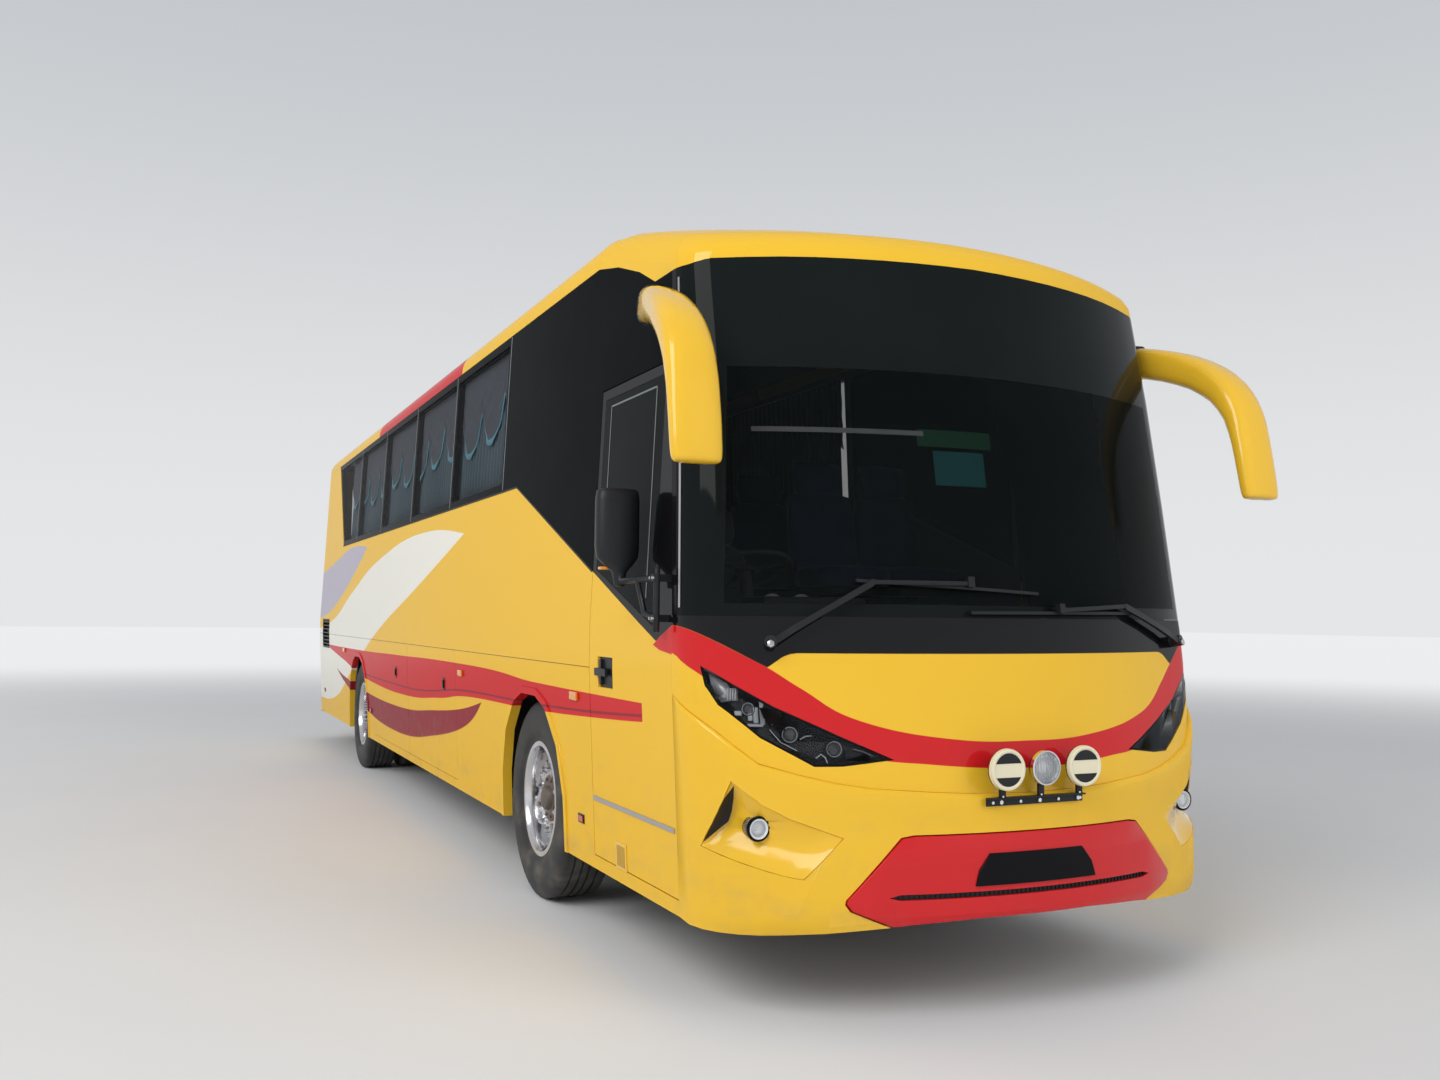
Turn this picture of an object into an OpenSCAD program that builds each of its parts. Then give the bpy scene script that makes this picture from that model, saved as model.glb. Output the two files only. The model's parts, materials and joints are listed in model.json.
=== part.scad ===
// Twelve metre airport passenger coach with driver on the right.
// Frame: +X forward, +Y to the bus's left, +Z up, millimetres, ground at z = 0.

/* [Overall] */
// Length from the rear bumper to the faces of the driving lamps
body_length = 12000; // [11600:50:12600]
// Width over the side panels at their widest line
body_width = 2500; // [2460:10:2550]
// Height of the roof crown above the ground
roof_z = 3420; // [3380:10:3500]
// How far the driving lamps stand ahead of the bumper
lamp_reach = 40; // [20:5:60]
// Front bumper to front axle
front_overhang = 2640; // [2600:10:2750]
// Distance between the axles
wheelbase = 6050; // [5900:50:6200]

/* [Body section] */
// Underside of the side skirts
skirt_z = 340; // [320:5:370]
// Top of the luggage flaps
sill_z = 1250; // [1200:10:1280]
// Bottom of the side windows
window_z = 2210; // [2180:10:2260]
// Lower edge of the roof coves
cove_z = 3160; // [3120:10:3180]
// How far the skirt stands inboard of the widest line
skirt_tuck = 45; // [20:5:60]
// How far the cove edge stands inboard of the widest line
cove_tuck = 78; // [50:2:90]
// Thickness of the body walls
wall = 45; // [35:1:55]
// Thickness of the glass
glass_t = 8; // [5:1:10]
// Radius of the roof coves
cove_r = 160; // [120:10:200]
// Seam between two fixed panels
seam = 0.8; // [0.5:0.1:0.9]
// Gap along a hinged edge
hinge_gap = 0.8; // [0.5:0.1:0.9]
// Gap round doors and flaps
door_gap = 6; // [5:0.5:8]

/* [Nose and tail] */
// Plan radius of the front face
nose_r = 2300; // [2000:50:2800]
// How far the front door's edge leans back from the waist to the coves
nose_lean = 240; // [150:10:300]
// How far the front of the roof dome is rounded back
dome_back = 150; // [100:10:200]
// Plan radius of the rear face
tail_r = 7000; // [5000:100:9000]
// Plan radius of the rear corners
tail_corner_r = 250; // [200:10:300]
// Bottom of the windscreen
screen_z = 1490; // [1460:10:1540]
// Top of the windscreen
screen_top_z = 2930; // [2880:10:2960]
// Crease between the front fascia and the bumper on the centre line
bumper_z = 830; // [815:5:840]
// Underside of the front bumper
bumper_low_z = 325; // [300:5:335]

/* [Doors and flaps] */
// Rear edge of the front doors ahead of the front axle
door_rear = 1020; // [990:5:1040]
// Front edge of the front doors ahead of the front axle
door_front = 2010; // [1990:5:2030]
// Top of the front doors
door_top_z = 2520; // [2480:10:2600]
// Bottom of the front doors
door_low_z = 405; // [395:2:420]
// Front edge of the luggage flaps behind the front axle
flap_start = 1770; // [1720:10:1820]
// Rear edge of the luggage flaps ahead of the rear axle
flap_end = 890; // [870:10:950]
// Bottom of the luggage flaps
flap_low_z = 400; // [390:5:420]
// Thickness of the luggage flaps
flap_t = 32; // [25:1:40]

/* [Running gear] */
// Outer radius of the tyres
tyre_r = 515; // [505:1:525]
// Width of a tyre
tyre_w = 290; // [280:2:300]
// Radius of the wheel rims
rim_r = 286; // [280:1:292]
// Middle of the front tyres from the centre line
front_track_y = 1050; // [1040:2:1060]
// Middle of the outer rear tyres from the centre line
rear_track_y = 1050; // [1040:2:1060]
// Distance between the two tyres of a rear pair
twin_pitch = 330; // [326:1:340]
// Steering pivot from the centre line
kingpin_y = 890; // [880:2:900]
// Radius of a steering pivot
kingpin_r = 28; // [24:1:32]
// Radius of a wheel spindle
spindle_r = 45; // [40:1:50]
// Half length of a wheel arch
arch_hl = 590; // [580:5:610]
// Top of the wheel arches
arch_top_z = 1065; // [1060:5:1100]

/* [Chassis and floor] */
// Radius of the holes in the towing lugs
lug_hole_r = 20; // [15:1:25]
// Thickness of the towing lugs
lug_t = 30; // [25:1:40]
// Hole of a towing lug beyond the end of its rail
lug_out = 60; // [50:5:70]
// Height of the frame rails
rail_h = 240; // [200:10:280]
// Width of the frame rails
rail_w = 75; // [60:5:90]
// Middle of the frame rails from the centre line
rail_y = 395; // [380:5:410]
// Underside of the frame rails
rail_z = 600; // [595:5:620]
// Top of the passenger floor
floor_z = 1310; // [1290:5:1340]
// Thickness of the floor
floor_t = 40; // [30:5:60]
// Top of the driver's floor
cab_floor_z = 940; // [900:10:980]

/* [Hidden] */

// Places that follow from the driving sizes
x_front = body_length / 2 - lamp_reach;
x_rear = -body_length / 2;
x_fa = x_front - front_overhang;
x_ra = x_fa - wheelbase;
x_nose = x_fa + door_front;
half_w = body_width / 2;
waist_z = 1450;
cove_turn = 72;
x_tail = x_rear + tail_corner_r + 60;
rest_gap = 0.3;
run_gap = 0.08;
flap_l = (wheelbase - flap_start - flap_end - 10) / 2;
rear_overhang = x_ra - x_rear;
diag_x = x_fa - 420;
diag_slope = -0.364;
glass_rear_low = x_fa - 7450;
glass_rear_high = x_fa - 8200;

// Half width of the body at height z
function half_width(z) = lookup(z, [[skirt_z, half_w - skirt_tuck], [sill_z, half_w],
    [waist_z, half_w], [cove_z, half_w - cove_tuck]]);
// Height of the diagonal lower edge of the front side glass
function diag_z(x) = window_z + (x - diag_x) * diag_slope;

cove_yc = half_width(cove_z) - cove_r;
edge_y = cove_yc + cove_r * cos(cove_turn);
edge_z = cove_z + cove_r * sin(cove_turn);
// Height of the roof crown at distance y from the centre line
function crown_z(y) = roof_z - (roof_z - edge_z) * pow(y / edge_y, 2);

// One side's outline, inset by i, from z0 up to z1, as points [y, z]
function side_line(i, z0, z1) = concat([[half_width(z0) - i, z0]],
    [for (z = [skirt_z, sill_z, waist_z, cove_z]) if (z > z0 && z < z1) [half_width(z) - i, z]],
    [[half_width(z1) - i, z1]]);
function reversed(p) = [for (k = [len(p) - 1:-1:0]) p[k]];

// Slab of side wall on side s (-1 right, 1 left) between two insets
module side_slab(s, x0, x1, z0, z1, i0, i1) {
    p = concat(side_line(i0, z0, z1), reversed(side_line(i1, z0, z1)));
    translate([x0, 0, 0]) rotate([90, 0, 90]) linear_extrude(x1 - x0)
        polygon([for (q = p) [s * q[0], q[1]]]);
}

// Outline in x and z pushed through the side wall on side s
module through_side(s, depth_in = 300, depth_out = 100) {
    y0 = s > 0 ? half_w - depth_in : -half_w - depth_out;
    translate([0, y0 + depth_in + depth_out, 0]) rotate([90, 0, 0])
        linear_extrude(depth_in + depth_out) children();
}

// Outline in y and z pushed along x
module along_x(x0, x1) {
    translate([x0, 0, 0]) rotate([90, 0, 90]) linear_extrude(x1 - x0) children();
}

module block(x0, x1, y0, y1, z0, z1) {
    translate([x0, y0, z0]) cube([x1 - x0, y1 - y0, z1 - z0]);
}

// Nose and tail skins.
// Columns: height, distance of the skin's tip behind the body's end on the centre line.
front_rows = [[bumper_low_z, 45], [bumper_low_z + 25, 12], [bumper_low_z + 80, 0], [600, 12], [860, 45], [900, 52],
    [1200, 95], [screen_z, 148], [2000, 222], [2500, 305], [screen_top_z, 400], [cove_z, 450]];
rear_rows = [[bumper_low_z, 40], [bumper_low_z + 30, 10], [450, 0], [1250, 12], [window_z, 40], [3000, 80],
    [cove_z, 100]];
lip_depth = 330;
// Length of the roof that the front dome and the rear dome cover behind and ahead of the body's corners
dome_l = 1160;
rear_dome_l = 340;
// Line where the nose skin meets the side wall, at height z
function nose_edge(z) = lookup(z, [[waist_z, x_nose], [cove_z, x_nose - nose_lean]]);
// An end is [plan radius, rows, tip, edge line at the waist, lean of the edge line, depth of the dome, back]
front_end = [nose_r, front_rows, x_front, x_nose, nose_lean, dome_back, x_nose - dome_l, 255];
rear_end = [tail_r, rear_rows, -x_rear, -x_tail, 0, 200, -x_tail - rear_dome_l, 0];

// Front face of the nose at distance y from the centre line and height z
function face_x(y, z) = x_front - lookup(z, front_rows) - nose_r + sqrt(nose_r * nose_r - y * y);

// Point of a plan outline with half width hw, tip and edge given; t runs from -2 to 2 round the end:
// the face is |t| < 0.5, the corners |t| < 1 and the sides beyond
function plan_pt(r, tip, edge, hw, back, t, i) =
    let(a0 = r - tip + edge, rc = (r * r - a0 * a0 - hw * hw) / (2 * (r - hw)),
        phi = asin((hw - rc) / (r - rc)), m = abs(t), g = sign(t))
    m <= 0.5 ? let(a = phi * m * 2) [tip - r + (r - i) * cos(a), g * (r - i) * sin(a)]
    : m <= 1 ? let(a = phi + (90 - phi) * (m - 0.5) * 2)
        [edge + (rc - i) * cos(a), g * (hw - rc + (rc - i) * sin(a))]
    : [edge + (back - edge) * (m - 1), g * (hw - i)];
function skin_pt(e, t, z, i) = let(edge = lookup(z, [[waist_z, e[3]], [cove_z, e[3] - e[4]]]),
    q = plan_pt(e[0], e[2] - lookup(z, e[1]), edge, half_width(z), e[6], t, i)) [q[0], q[1], z];
// Drop of the roof towards an end, at distance x from the middle
function sag(e, x) = e[7] * pow(max(0, x - e[6]) / 1000, 1.3);
// Height where the dome's curve begins, from its lower edge at height low
function dome_start(e, t, low) = max(low + 8, cove_z - sag(e, skin_pt(e, t, cove_z, 0)[0]));
// Point of the dome, turned a degrees over from height z0 towards the roof
function dome_pt(e, t, a, i, z0) = let(p = skin_pt(e, t, z0, i),
    tip = e[2] - lookup(cove_z, e[1]) - e[5],
    q = plan_pt(e[0], tip, tip - lip_depth, edge_y, e[6], t, i),
    m = (1 - cos(a)) / (1 - cos(cove_turn)), h = sin(a) / sin(cove_turn))
    [p[0] + (q[0] - p[0]) * m, p[1] + (q[1] - p[1]) * m, z0 + (crown_z(q[1]) - sag(e, q[0]) - i - z0) * h];
// Point of the roof behind the dome, at part f of the way to its rear edge
function roof_pt(e, t, i, z0, f) = let(p = dome_pt(e, t, cove_turn, i, z0),
    x = p[0] + (e[6] - p[0]) * f, y = p[1] + ((edge_y - i) * t / 2 - p[1]) * f) [x, y, crown_z(y) - sag(e, x) - i];

// Closed solid between two like grids of points, given as lists of rows
module grid_solid(outer, inner) {
    n = len(outer[0]);
    m = len(outer);
    k = n * m;
    quads = [for (r = [0:m - 2]) for (c = [0:n - 2]) [r * n + c, r * n + c + 1, r * n + c + n + 1, r * n + c + n]];
    rim = concat([for (c = [0:n - 2]) [c, c + 1]], [for (r = [0:m - 2]) [r * n + n - 1, r * n + 2 * n - 1]],
        [for (c = [n - 1:-1:1]) [(m - 1) * n + c, (m - 1) * n + c - 1]], [for (r = [m - 1:-1:1]) [r * n, r * n - n]]);
    all = concat([for (r = outer) each r], [for (r = inner) each r]);
    polyhedron(all,
        [for (q = quads) each [[q[2], q[1], q[0]], [q[3], q[2], q[0]],
            [q[0] + k, q[1] + k, q[2] + k], [q[0] + k, q[2] + k, q[3] + k]],
        for (e = rim) each rank(all[e[0]]) < rank(all[e[1]]) ? [[e[0], e[1], e[1] + k], [e[0], e[1] + k, e[0] + k]]
            : [[e[0], e[1], e[0] + k], [e[1], e[1] + k, e[0] + k]]], convexity = 6);
}
// Order of points along an edge, so that the edges of neighbouring panels are split alike
function rank(q) = q[2] + 0.37 * q[0] + 0.11 * q[1];
corner_n = 6;
face_n = 8;
// Steps round the end from -t1 to t1
function steps(t1) = let(f = [for (k = [-face_n:face_n]) 0.5 * k / face_n],
    c = [for (k = [1:corner_n]) 0.5 + 0.5 * k / corner_n], far = [for (t = c) if (t < t1 - 0.01) t])
    concat([-t1], [for (k = [len(far) - 1:-1:0]) -far[k]], f, far, [t1]);
// The steps from t0 to t1 on side s
function side_steps(s, t0, t1) = [for (t = steps(1)) if (s * t > t0 - 0.001 && s * t < t1 + 0.001) t];
face_steps = [for (k = [-face_n:face_n]) 0.5 * k / face_n];
function heights(e, z0, z1) = concat([z0], [for (q = e[1]) if (q[0] > z0 + 5 && q[0] < z1 - 5) q[0]], [z1]);
// Piece of an end's skin between two heights, two steps and two insets
module skin(e, ts, z0, z1, i0, i1) {
    zs = heights(e, z0, z1);
    grid_solid([for (z = zs) [for (t = ts) skin_pt(e, t, z, i0)]], [for (z = zs) [for (t = ts) skin_pt(e, t, z, i1)]]);
}
// Piece of an end's skin with rows [height, distance outwards] that f gives for each step
module skin_rows(e, ts, f, i0, i1) {
    n = len(f(0));
    grid_solid([for (k = [0:n - 1]) [for (t = ts) skin_pt(e, t, f(t)[k][0], i0 - f(t)[k][1])]],
        [for (k = [0:n - 1]) [for (t = ts) skin_pt(e, t, f(t)[k][0], i1)]]);
}
cove_seam_z = cove_z - 12;
screen_t = 0.5 + 0.5 * 4 / corner_n;
cap_t = 0.5 + 0.5 * 5 / corner_n;
seam_t = 0.0009;
// Lower edge of the front dome: over the windscreen, down to a tip behind its corner, then up to the cove seam
dome_edge = [[0, 14], [0.35, 5], [0.5, -6], [0.75, -25], [1, -28], [1.2, -28], [1.4, 63], [1.7, 158]];
function front_low(t) = let(m = abs(t)) m > 1.99 ? cove_seam_z
    : screen_top_z + (m > 1.7 ? 158 + (cove_seam_z - screen_top_z - 158) * (m - 1.7) / 0.3 : lookup(m, dome_edge));
dome_cols = [1.2, 1.4, 1.7, 2];
// Dome over an end between the steps ts, from its lower edge
module dome(e, ts, low, i0, i1) {
    n = len(ts) - 1;
    z0 = [for (k = [0:n]) dome_start(e, ts[k], low[k])];
    g = [for (i = [i0, i1]) concat([[for (k = [0:n]) skin_pt(e, ts[k], low[k], i)]],
        [[for (k = [0:n]) skin_pt(e, ts[k], z0[k], i)]],
        [for (j = [1:dome_n]) [for (k = [0:n]) dome_pt(e, ts[k], cove_turn * j / dome_n, i, z0[k])]],
        [for (j = [1:roof_n]) [for (k = [0:n]) roof_pt(e, ts[k], i, z0[k], j / roof_n)]])];
    grid_solid(g[0], g[1]);
}
dome_n = 5;
roof_n = 4;

// Running gear

frame_x0 = x_rear + 260;
frame_x1 = x_front - 330;
cross_x = [frame_x0, x_ra - 0.214 * rear_overhang, x_ra + 700, x_ra + 2000, x_fa - 2000, x_fa - 720, x_fa + 640,
    frame_x1 - 80];
jack_x = [x_fa - 1220, x_ra - 0.45 * rear_overhang];
jack_l = 100;
jack_t = 10;
deck_low = floor_z - floor_t;
module chassis_frame() {
    color("#2b2d2f") for (s = [-1, 1]) {
        difference() {
            union() {
                block(frame_x0, frame_x1, s * rail_y - rail_w / 2, s * rail_y + rail_w / 2, rail_z, rail_z + rail_h);
                for (x = jack_x) block(x - jack_l / 2, x + jack_l / 2, s * rail_y - rail_w / 2,
                    s * rail_y + rail_w / 2, rail_z - jack_t, rail_z + 1);
                lug(s, frame_x1, 1);
                lug(s, frame_x0, -1);
            }
            block(frame_x0 - 1, frame_x1 + 1, s > 0 ? rail_y - rail_w / 2 + 10 : -rail_y - rail_w / 2 - 1,
                s > 0 ? rail_y + rail_w / 2 + 1 : -rail_y + rail_w / 2 - 10, rail_z + 12, rail_z + rail_h - 12);
            for (x = [frame_x1 + lug_out, frame_x0 - lug_out]) translate([x, s * rail_y, 0])
                cylinder(r = lug_hole_r, h = rail_z, $fn = 48);
        }
        for (x = [x_ra - 800, hold_x0 - 110, hold_x1 + 50, x_fa - 800, x_fa + 730]) outrigger(s, x);
    }
    in = rail_y - rail_w / 2 - rest_gap;
    color("#2b2d2f") for (x = cross_x) block(x, x + 80, -in, in, rail_z + 20, rail_z + rail_h - 20);
}
// Bracket from a rail to the side wall
module outrigger(s, x) {
    near = rail_y + rail_w / 2 + rest_gap;
    far = half_width(600) - wall - rest_gap;
    block(x, x + 60, s > 0 ? near : -far, s > 0 ? far : -near, rail_z, rail_z + 40);
}
post_w = 60;
module floor_posts() {
    color("#2b2d2f") for (s = [-1, 1], k = [0:6]) block(cross_x[k], cross_x[k] + post_w, s * rail_y - post_w / 2,
        s * rail_y + post_w / 2, rail_z + rail_h + rest_gap, deck_low - rest_gap);
}
// Towing lug under the end of a rail, pointing to d
module lug(s, x, d) {
    x1 = x + d * (lug_out + 45);
    block(min(x - d * 200, x1), max(x - d * 200, x1), s * rail_y - 45, s * rail_y + 45, rail_z - lug_t, rail_z);
}

module front_axle() {
    color("#303234") difference() {
        union() {
            along_x(x_fa - 45, x_fa + 45) polygon([[-kingpin_y + 60, 455], [-620, 455], [-520, 395],
                [520, 395], [620, 455], [kingpin_y - 60, 455], [kingpin_y - 60, 555], [600, 555],
                [500, 480], [-500, 480], [-600, 555], [-kingpin_y + 60, 555]]);
            for (s = [-1, 1]) translate([x_fa, s * kingpin_y, 455]) cylinder(r = 62, h = 100, $fn = 48);
        }
        for (s = [-1, 1]) translate([x_fa, s * kingpin_y, 400])
            cylinder(r = kingpin_r + run_gap, h = 250, $fn = 48);
    }
}

module knuckle(s) {
    color("#3a3c3f") translate([x_fa, s * kingpin_y, 0]) {
        cylinder_span(kingpin_r, 410, 600);
        for (z = [[410, 452], [558, 600]]) translate([0, 0, z[0]]) cylinder(r = 58, h = z[1] - z[0], $fn = 48);
        block(-55, 55, s > 0 ? 66 : -96, s > 0 ? 96 : -66, 410, 600);
        for (z = [[410, 452], [558, 600]])
            block(-40, 40, s > 0 ? 0 : -80, s > 0 ? 80 : 0, z[0], z[1]);
        translate([0, 0, tyre_r]) rotate([-90 * s, 0, 0]) translate([0, 0, 90])
            cylinder(r = spindle_r, h = front_track_y - kingpin_y - 20, $fn = 48);
        block(-230, -40, s > 0 ? -20 : -10, s > 0 ? 10 : 20, 412, 440);
    }
}
module cylinder_span(r, z0, z1) {
    translate([0, 0, z0]) cylinder(r = r, h = z1 - z0, $fn = 48);
}
module knuckle_right() { knuckle(-1); }
module knuckle_left() { knuckle(1); }

// Tyre about the y axis, with its middle at the origin
module tyre() {
    w = tyre_w / 2;
    rotate([90, 0, 0]) rotate_extrude($fn = 72) polygon(concat(
        [[rim_r + rest_gap, -w * 0.72], [rim_r + 30, -w * 0.86], [(rim_r + tyre_r) / 2, -w],
            [tyre_r - 45, -w * 0.97], [tyre_r - 12, -w * 0.86], [tyre_r, -w * 0.72]],
        [[tyre_r, w * 0.72], [tyre_r - 12, w * 0.86], [tyre_r - 45, w * 0.97],
            [(rim_r + tyre_r) / 2, w], [rim_r + 30, w * 0.86], [rim_r + rest_gap, w * 0.72]]));
}

// Rim with disc and hand holes; the disc lies at distance d outboard of the middle
module rim(s, d, hub_in) {
    w = tyre_w * 0.4;
    rotate([90 * s, 0, 0]) mirror([0, 0, 1]) difference() {
        rotate_extrude($fn = 72) polygon([[rim_r, -w], [rim_r + 14, -w], [rim_r + 14, -w - 8],
            [rim_r - 10, -w - 8], [rim_r - 24, -w + 30], [rim_r - 34, d - 66], [rim_r - 90, d - 8],
            [130, d - 16], [130, -hub_in], [spindle_r + run_gap, -hub_in], [spindle_r + run_gap, d],
            [150, d], [rim_r - 84, d + 8], [rim_r - 26, d - 40], [rim_r - 22, w - 20],
            [rim_r - 10, w + 8], [rim_r + 14, w + 8], [rim_r + 14, w], [rim_r, w]]);
        for (k = [0:9]) rotate([0, 0, 36 * k]) translate([205, 0, d - 60])
            cylinder(r = 26, h = 120, $fn = 24);
    }
}

module front_tyre(s) { color("#1a1a1b") translate([x_fa, s * front_track_y, tyre_r]) tyre(); }
module front_tyre_right() { front_tyre(-1); }
module front_tyre_left() { front_tyre(1); }
module rear_tyres(s) {
    color("#1a1a1b") for (y = [rear_track_y, rear_track_y - twin_pitch])
        translate([x_ra, s * y, tyre_r]) tyre();
}
module rear_tyres_right() { rear_tyres(-1); }
module rear_tyres_left() { rear_tyres(1); }
module front_rim(s) {
    color("#c9ccd0") translate([x_fa, s * front_track_y, tyre_r]) rim(s, 60, 60);
}
module front_rim_right() { front_rim(-1); }
module front_rim_left() { front_rim(1); }
module rear_rims(s) {
    color("#c9ccd0") {
        translate([x_ra, s * rear_track_y, tyre_r]) rim(s, -70, 100);
        translate([x_ra, s * (rear_track_y - twin_pitch), tyre_r]) rim(s, 60, 20);
    }
}
module rear_rims_right() { rear_rims(-1); }
module rear_rims_left() { rear_rims(1); }

module rear_axle() {
    reach = rear_track_y - 60;
    color("#2d2f31") translate([x_ra, 0, tyre_r]) {
        rotate([90, 0, 0]) cylinder(r = 70, h = 2 * (rear_track_y - twin_pitch - 30), center = true, $fn = 48);
        rotate([90, 0, 0]) cylinder(r = spindle_r, h = 2 * reach, center = true, $fn = 48);
        sphere(r = 190, $fn = 48);
        rotate([0, -90, 0]) cylinder(r = 60, h = 420, $fn = 48);
    }
}

beam_z = 380;
module air_springs() {
    axle_low = tyre_r - 70 - rest_gap;
    color("#1e1f20") for (s = [-1, 1]) {
        for (x = [x_ra - 330, x_ra + 330]) translate([x, s * rail_y, beam_z])
            cylinder(r = 110, h = rail_z - beam_z - rest_gap, $fn = 36);
        block(x_ra - 430, x_ra + 430, s * rail_y - 45, s * rail_y + 45, beam_z - 40, beam_z);
        block(x_ra - 60, x_ra + 60, s * rail_y - 45, s * rail_y + 45, beam_z - 1, axle_low);
        translate([x_fa, s * rail_y, 480 + rest_gap])
            cylinder(r = 30, h = rail_z - 480 - 2 * rest_gap, $fn = 36);
    }
}

engine_l = 0.35 * rear_overhang;
module engine_block() {
    color("#55585b") {
        block(x_rear + 360, x_rear + 360 + engine_l, -rail_y + 60, rail_y - 60, 520, 1210);
        for (x = [0.2, 0.75]) translate([x_rear + 360 + x * engine_l, 0, 0]) block(0, 100,
            -rail_y + rail_w / 2 + rest_gap, rail_y - rail_w / 2 - rest_gap, 620, 700);
    }
}

// Floor, tubs and luggage hold

deck_front = x_fa + 760;
cab_front = x_front - 420;
well_x0 = x_fa + door_rear - 30;
well_x1 = x_fa + door_front + 30;
module floor_deck() {
    inner = half_w - wall - rest_gap;
    color("#5d6063") difference() {
        union() {
            block(x_rear + 160, x_tail, -930, 930, deck_low, floor_z);
            block(x_tail, deck_front, -inner, inner, deck_low, floor_z);
            block(deck_front - 30, deck_front, -inner + 40, inner - 40, cab_floor_z - floor_t, deck_low);
            block(deck_front - 30, x_nose - 20, -inner + 20, inner - 20, cab_floor_z - floor_t, cab_floor_z);
            block(x_nose - 20, cab_front, -980, 980, cab_floor_z - floor_t, cab_floor_z);
        }
        block(well_x0 + 10, well_x1 - 10, 540, 2000, cab_floor_z - 200, floor_z + 50);
    }
}
// Well of the entrance with its two steps, under the cab floor
module entrance_steps() {
    y_out = half_w - wall - 70;
    top = cab_floor_z - floor_t - rest_gap;
    color("#4c4f52") {
        block(well_x0, well_x1, 500, 540, 440, top);
        block(well_x0 - 30, well_x0 + 10, 500, y_out, 440, top);
        block(well_x1 - 10, well_x1 + 30, 500, y_out - 110, 440, top);
        block(well_x0, well_x1, 500, y_out, 440, 480);
        block(well_x0, well_x1, 500, 830, 480, 710);
    }
}

module wheel_tubs() {
    color("#26282a") {
        for (s = [-1, 1]) tub(s, x_fa, 560, 90);
        for (s = [-1, 1]) tub(s, x_ra, 520, 0);
    }
}
// Wheel tub on side s about the axle at x, from y_in to the side wall
module tub(s, x, y_in, extra) {
    hl = arch_hl + 30 + extra;
    y_out = half_w - wall - 60;
    t = 12;
    top = deck_low - rest_gap;
    intersection() {
        translate([0, s > 0 ? y_out : -y_in, 0]) rotate([90, 0, 0]) linear_extrude(y_out - y_in)
            difference() {
                polygon([[x - hl, 480], [x - hl, 1000], [x - hl + 160, top], [x + hl - 160, top],
                    [x + hl, 1000], [x + hl, 480]]);
                polygon([[x - hl + t, 479], [x - hl + t, 1000 - t / 2], [x - hl + 160 + t / 2, top - t],
                    [x + hl - 160 - t / 2, top - t], [x + hl - t, 1000 - t / 2], [x + hl - t, 479]]);
            }
        block(x - hl, x + hl, -half_w, half_w, 480, top);
    }
}

hold_x0 = x_fa - flap_start - 2 * flap_l - 10;
hold_x1 = x_fa - flap_start;
module luggage_hold() {
    t = 15;
    color("#707478") for (s = [-1, 1]) {
        y0 = s > 0 ? 480 : -half_w + wall + 60;
        y1 = s > 0 ? half_w - wall - 60 : -480;
        difference() {
            block(hold_x0 - 30, hold_x1 + 30, y0, y1, flap_low_z - 30, deck_low - rest_gap);
            block(hold_x0 - 30 + t, hold_x1 + 30 - t, s > 0 ? y0 + t : y0 - 100, s > 0 ? y1 + 100 : y1 - t,
                flap_low_z - 30 + t, floor_z);
        }
    }
}

// Body panels

// Glass band of one side in x and z
module band_outline() {
    polygon([[glass_rear_low, window_z], [glass_rear_high, cove_seam_z + 10], [x_nose + 10, cove_seam_z + 10],
        [x_nose + 10, diag_z(x_nose)], [diag_x, window_z]]);
}
// Everything ahead of the nose edge and above the dome's lower edge, moved back and down by g
module ahead_outline(g) {
    polygon(concat([[x_nose - g, 0], [x_nose - g, waist_z]],
        [for (t = concat([1], dome_cols)) let(z = front_low(t), p = skin_pt(front_end, t, z, 0))
            [p[0] - (t < 1.1 ? g : 0), z - g]],
        [[x_nose - dome_l, cove_z + 50], [x_nose + 500, cove_z + 50], [x_nose + 500, 0]]));
}
// Window holes: the bays behind the front quarter, then the quarter
bay_ends = [-740, -2180, -3620, -5060, -6500];
module window_holes() {
    for (k = [0:len(bay_ends) - 2]) translate([x_fa + bay_ends[k + 1] + 40, window_z + 50])
        square([bay_ends[k] - bay_ends[k + 1] - 80, cove_z - window_z - 120]);
    polygon([[x_fa - 700, window_z + 50], [x_fa - 700, cove_z - 70], [x_fa + door_rear - 60, cove_z - 70],
        [x_fa + door_rear - 60, diag_z(x_fa + door_rear - 60) + 60], [diag_x, window_z + 55]]);
    polygon([[x_fa - 6540, window_z + 50], [x_fa - 7450, window_z + 50], [x_fa - 8050, cove_z - 70],
        [x_fa - 6540, cove_z - 70]]);
}
// Wheel arch about the axle at x, widened by g
module arch_outline(x, g = 0) {
    half = [[arch_hl + g, 0], [arch_hl - 20 + g, 600 + 0.1 * g], [arch_hl - 110 + 0.85 * g, 840 + 0.6 * g],
        [300 + 0.45 * g, arch_top_z - 55 + 0.92 * g], [130 + 0.1 * g, arch_top_z + g]];
    polygon([for (s = [-1, 1], k = [0:4]) let(p = half[s > 0 ? 4 - k : k]) [x + s * p[0], p[1]]]);
}
module door_outline(g) {
    x0 = x_fa + door_rear - g;
    x1 = g > 0 ? 10 : -hinge_gap;
    polygon([[x0, door_low_z - g], [x0, door_top_z + g], [nose_edge(door_top_z) + x1, door_top_z + g],
        [x_nose + x1, waist_z], [x_nose + x1, door_low_z - g]]);
}
module flap_outline(k, g) {
    x1 = x_fa - flap_start - k * (flap_l + 10);
    translate([x1 - flap_l - g, flap_low_z - g]) square([flap_l + 2 * g, sill_z - flap_low_z + g + hinge_gap]);
}
grille_x0 = x_fa - 8760;
grille_x1 = x_fa - 8160;
grille_z0 = 1090;
grille_z1 = 1420;
module grille_outline(g) {
    translate([grille_x0 - g, grille_z0 - g])
        square([grille_x1 - grille_x0 + 2 * g, grille_z1 - grille_z0 + 2 * g]);
}

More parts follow.
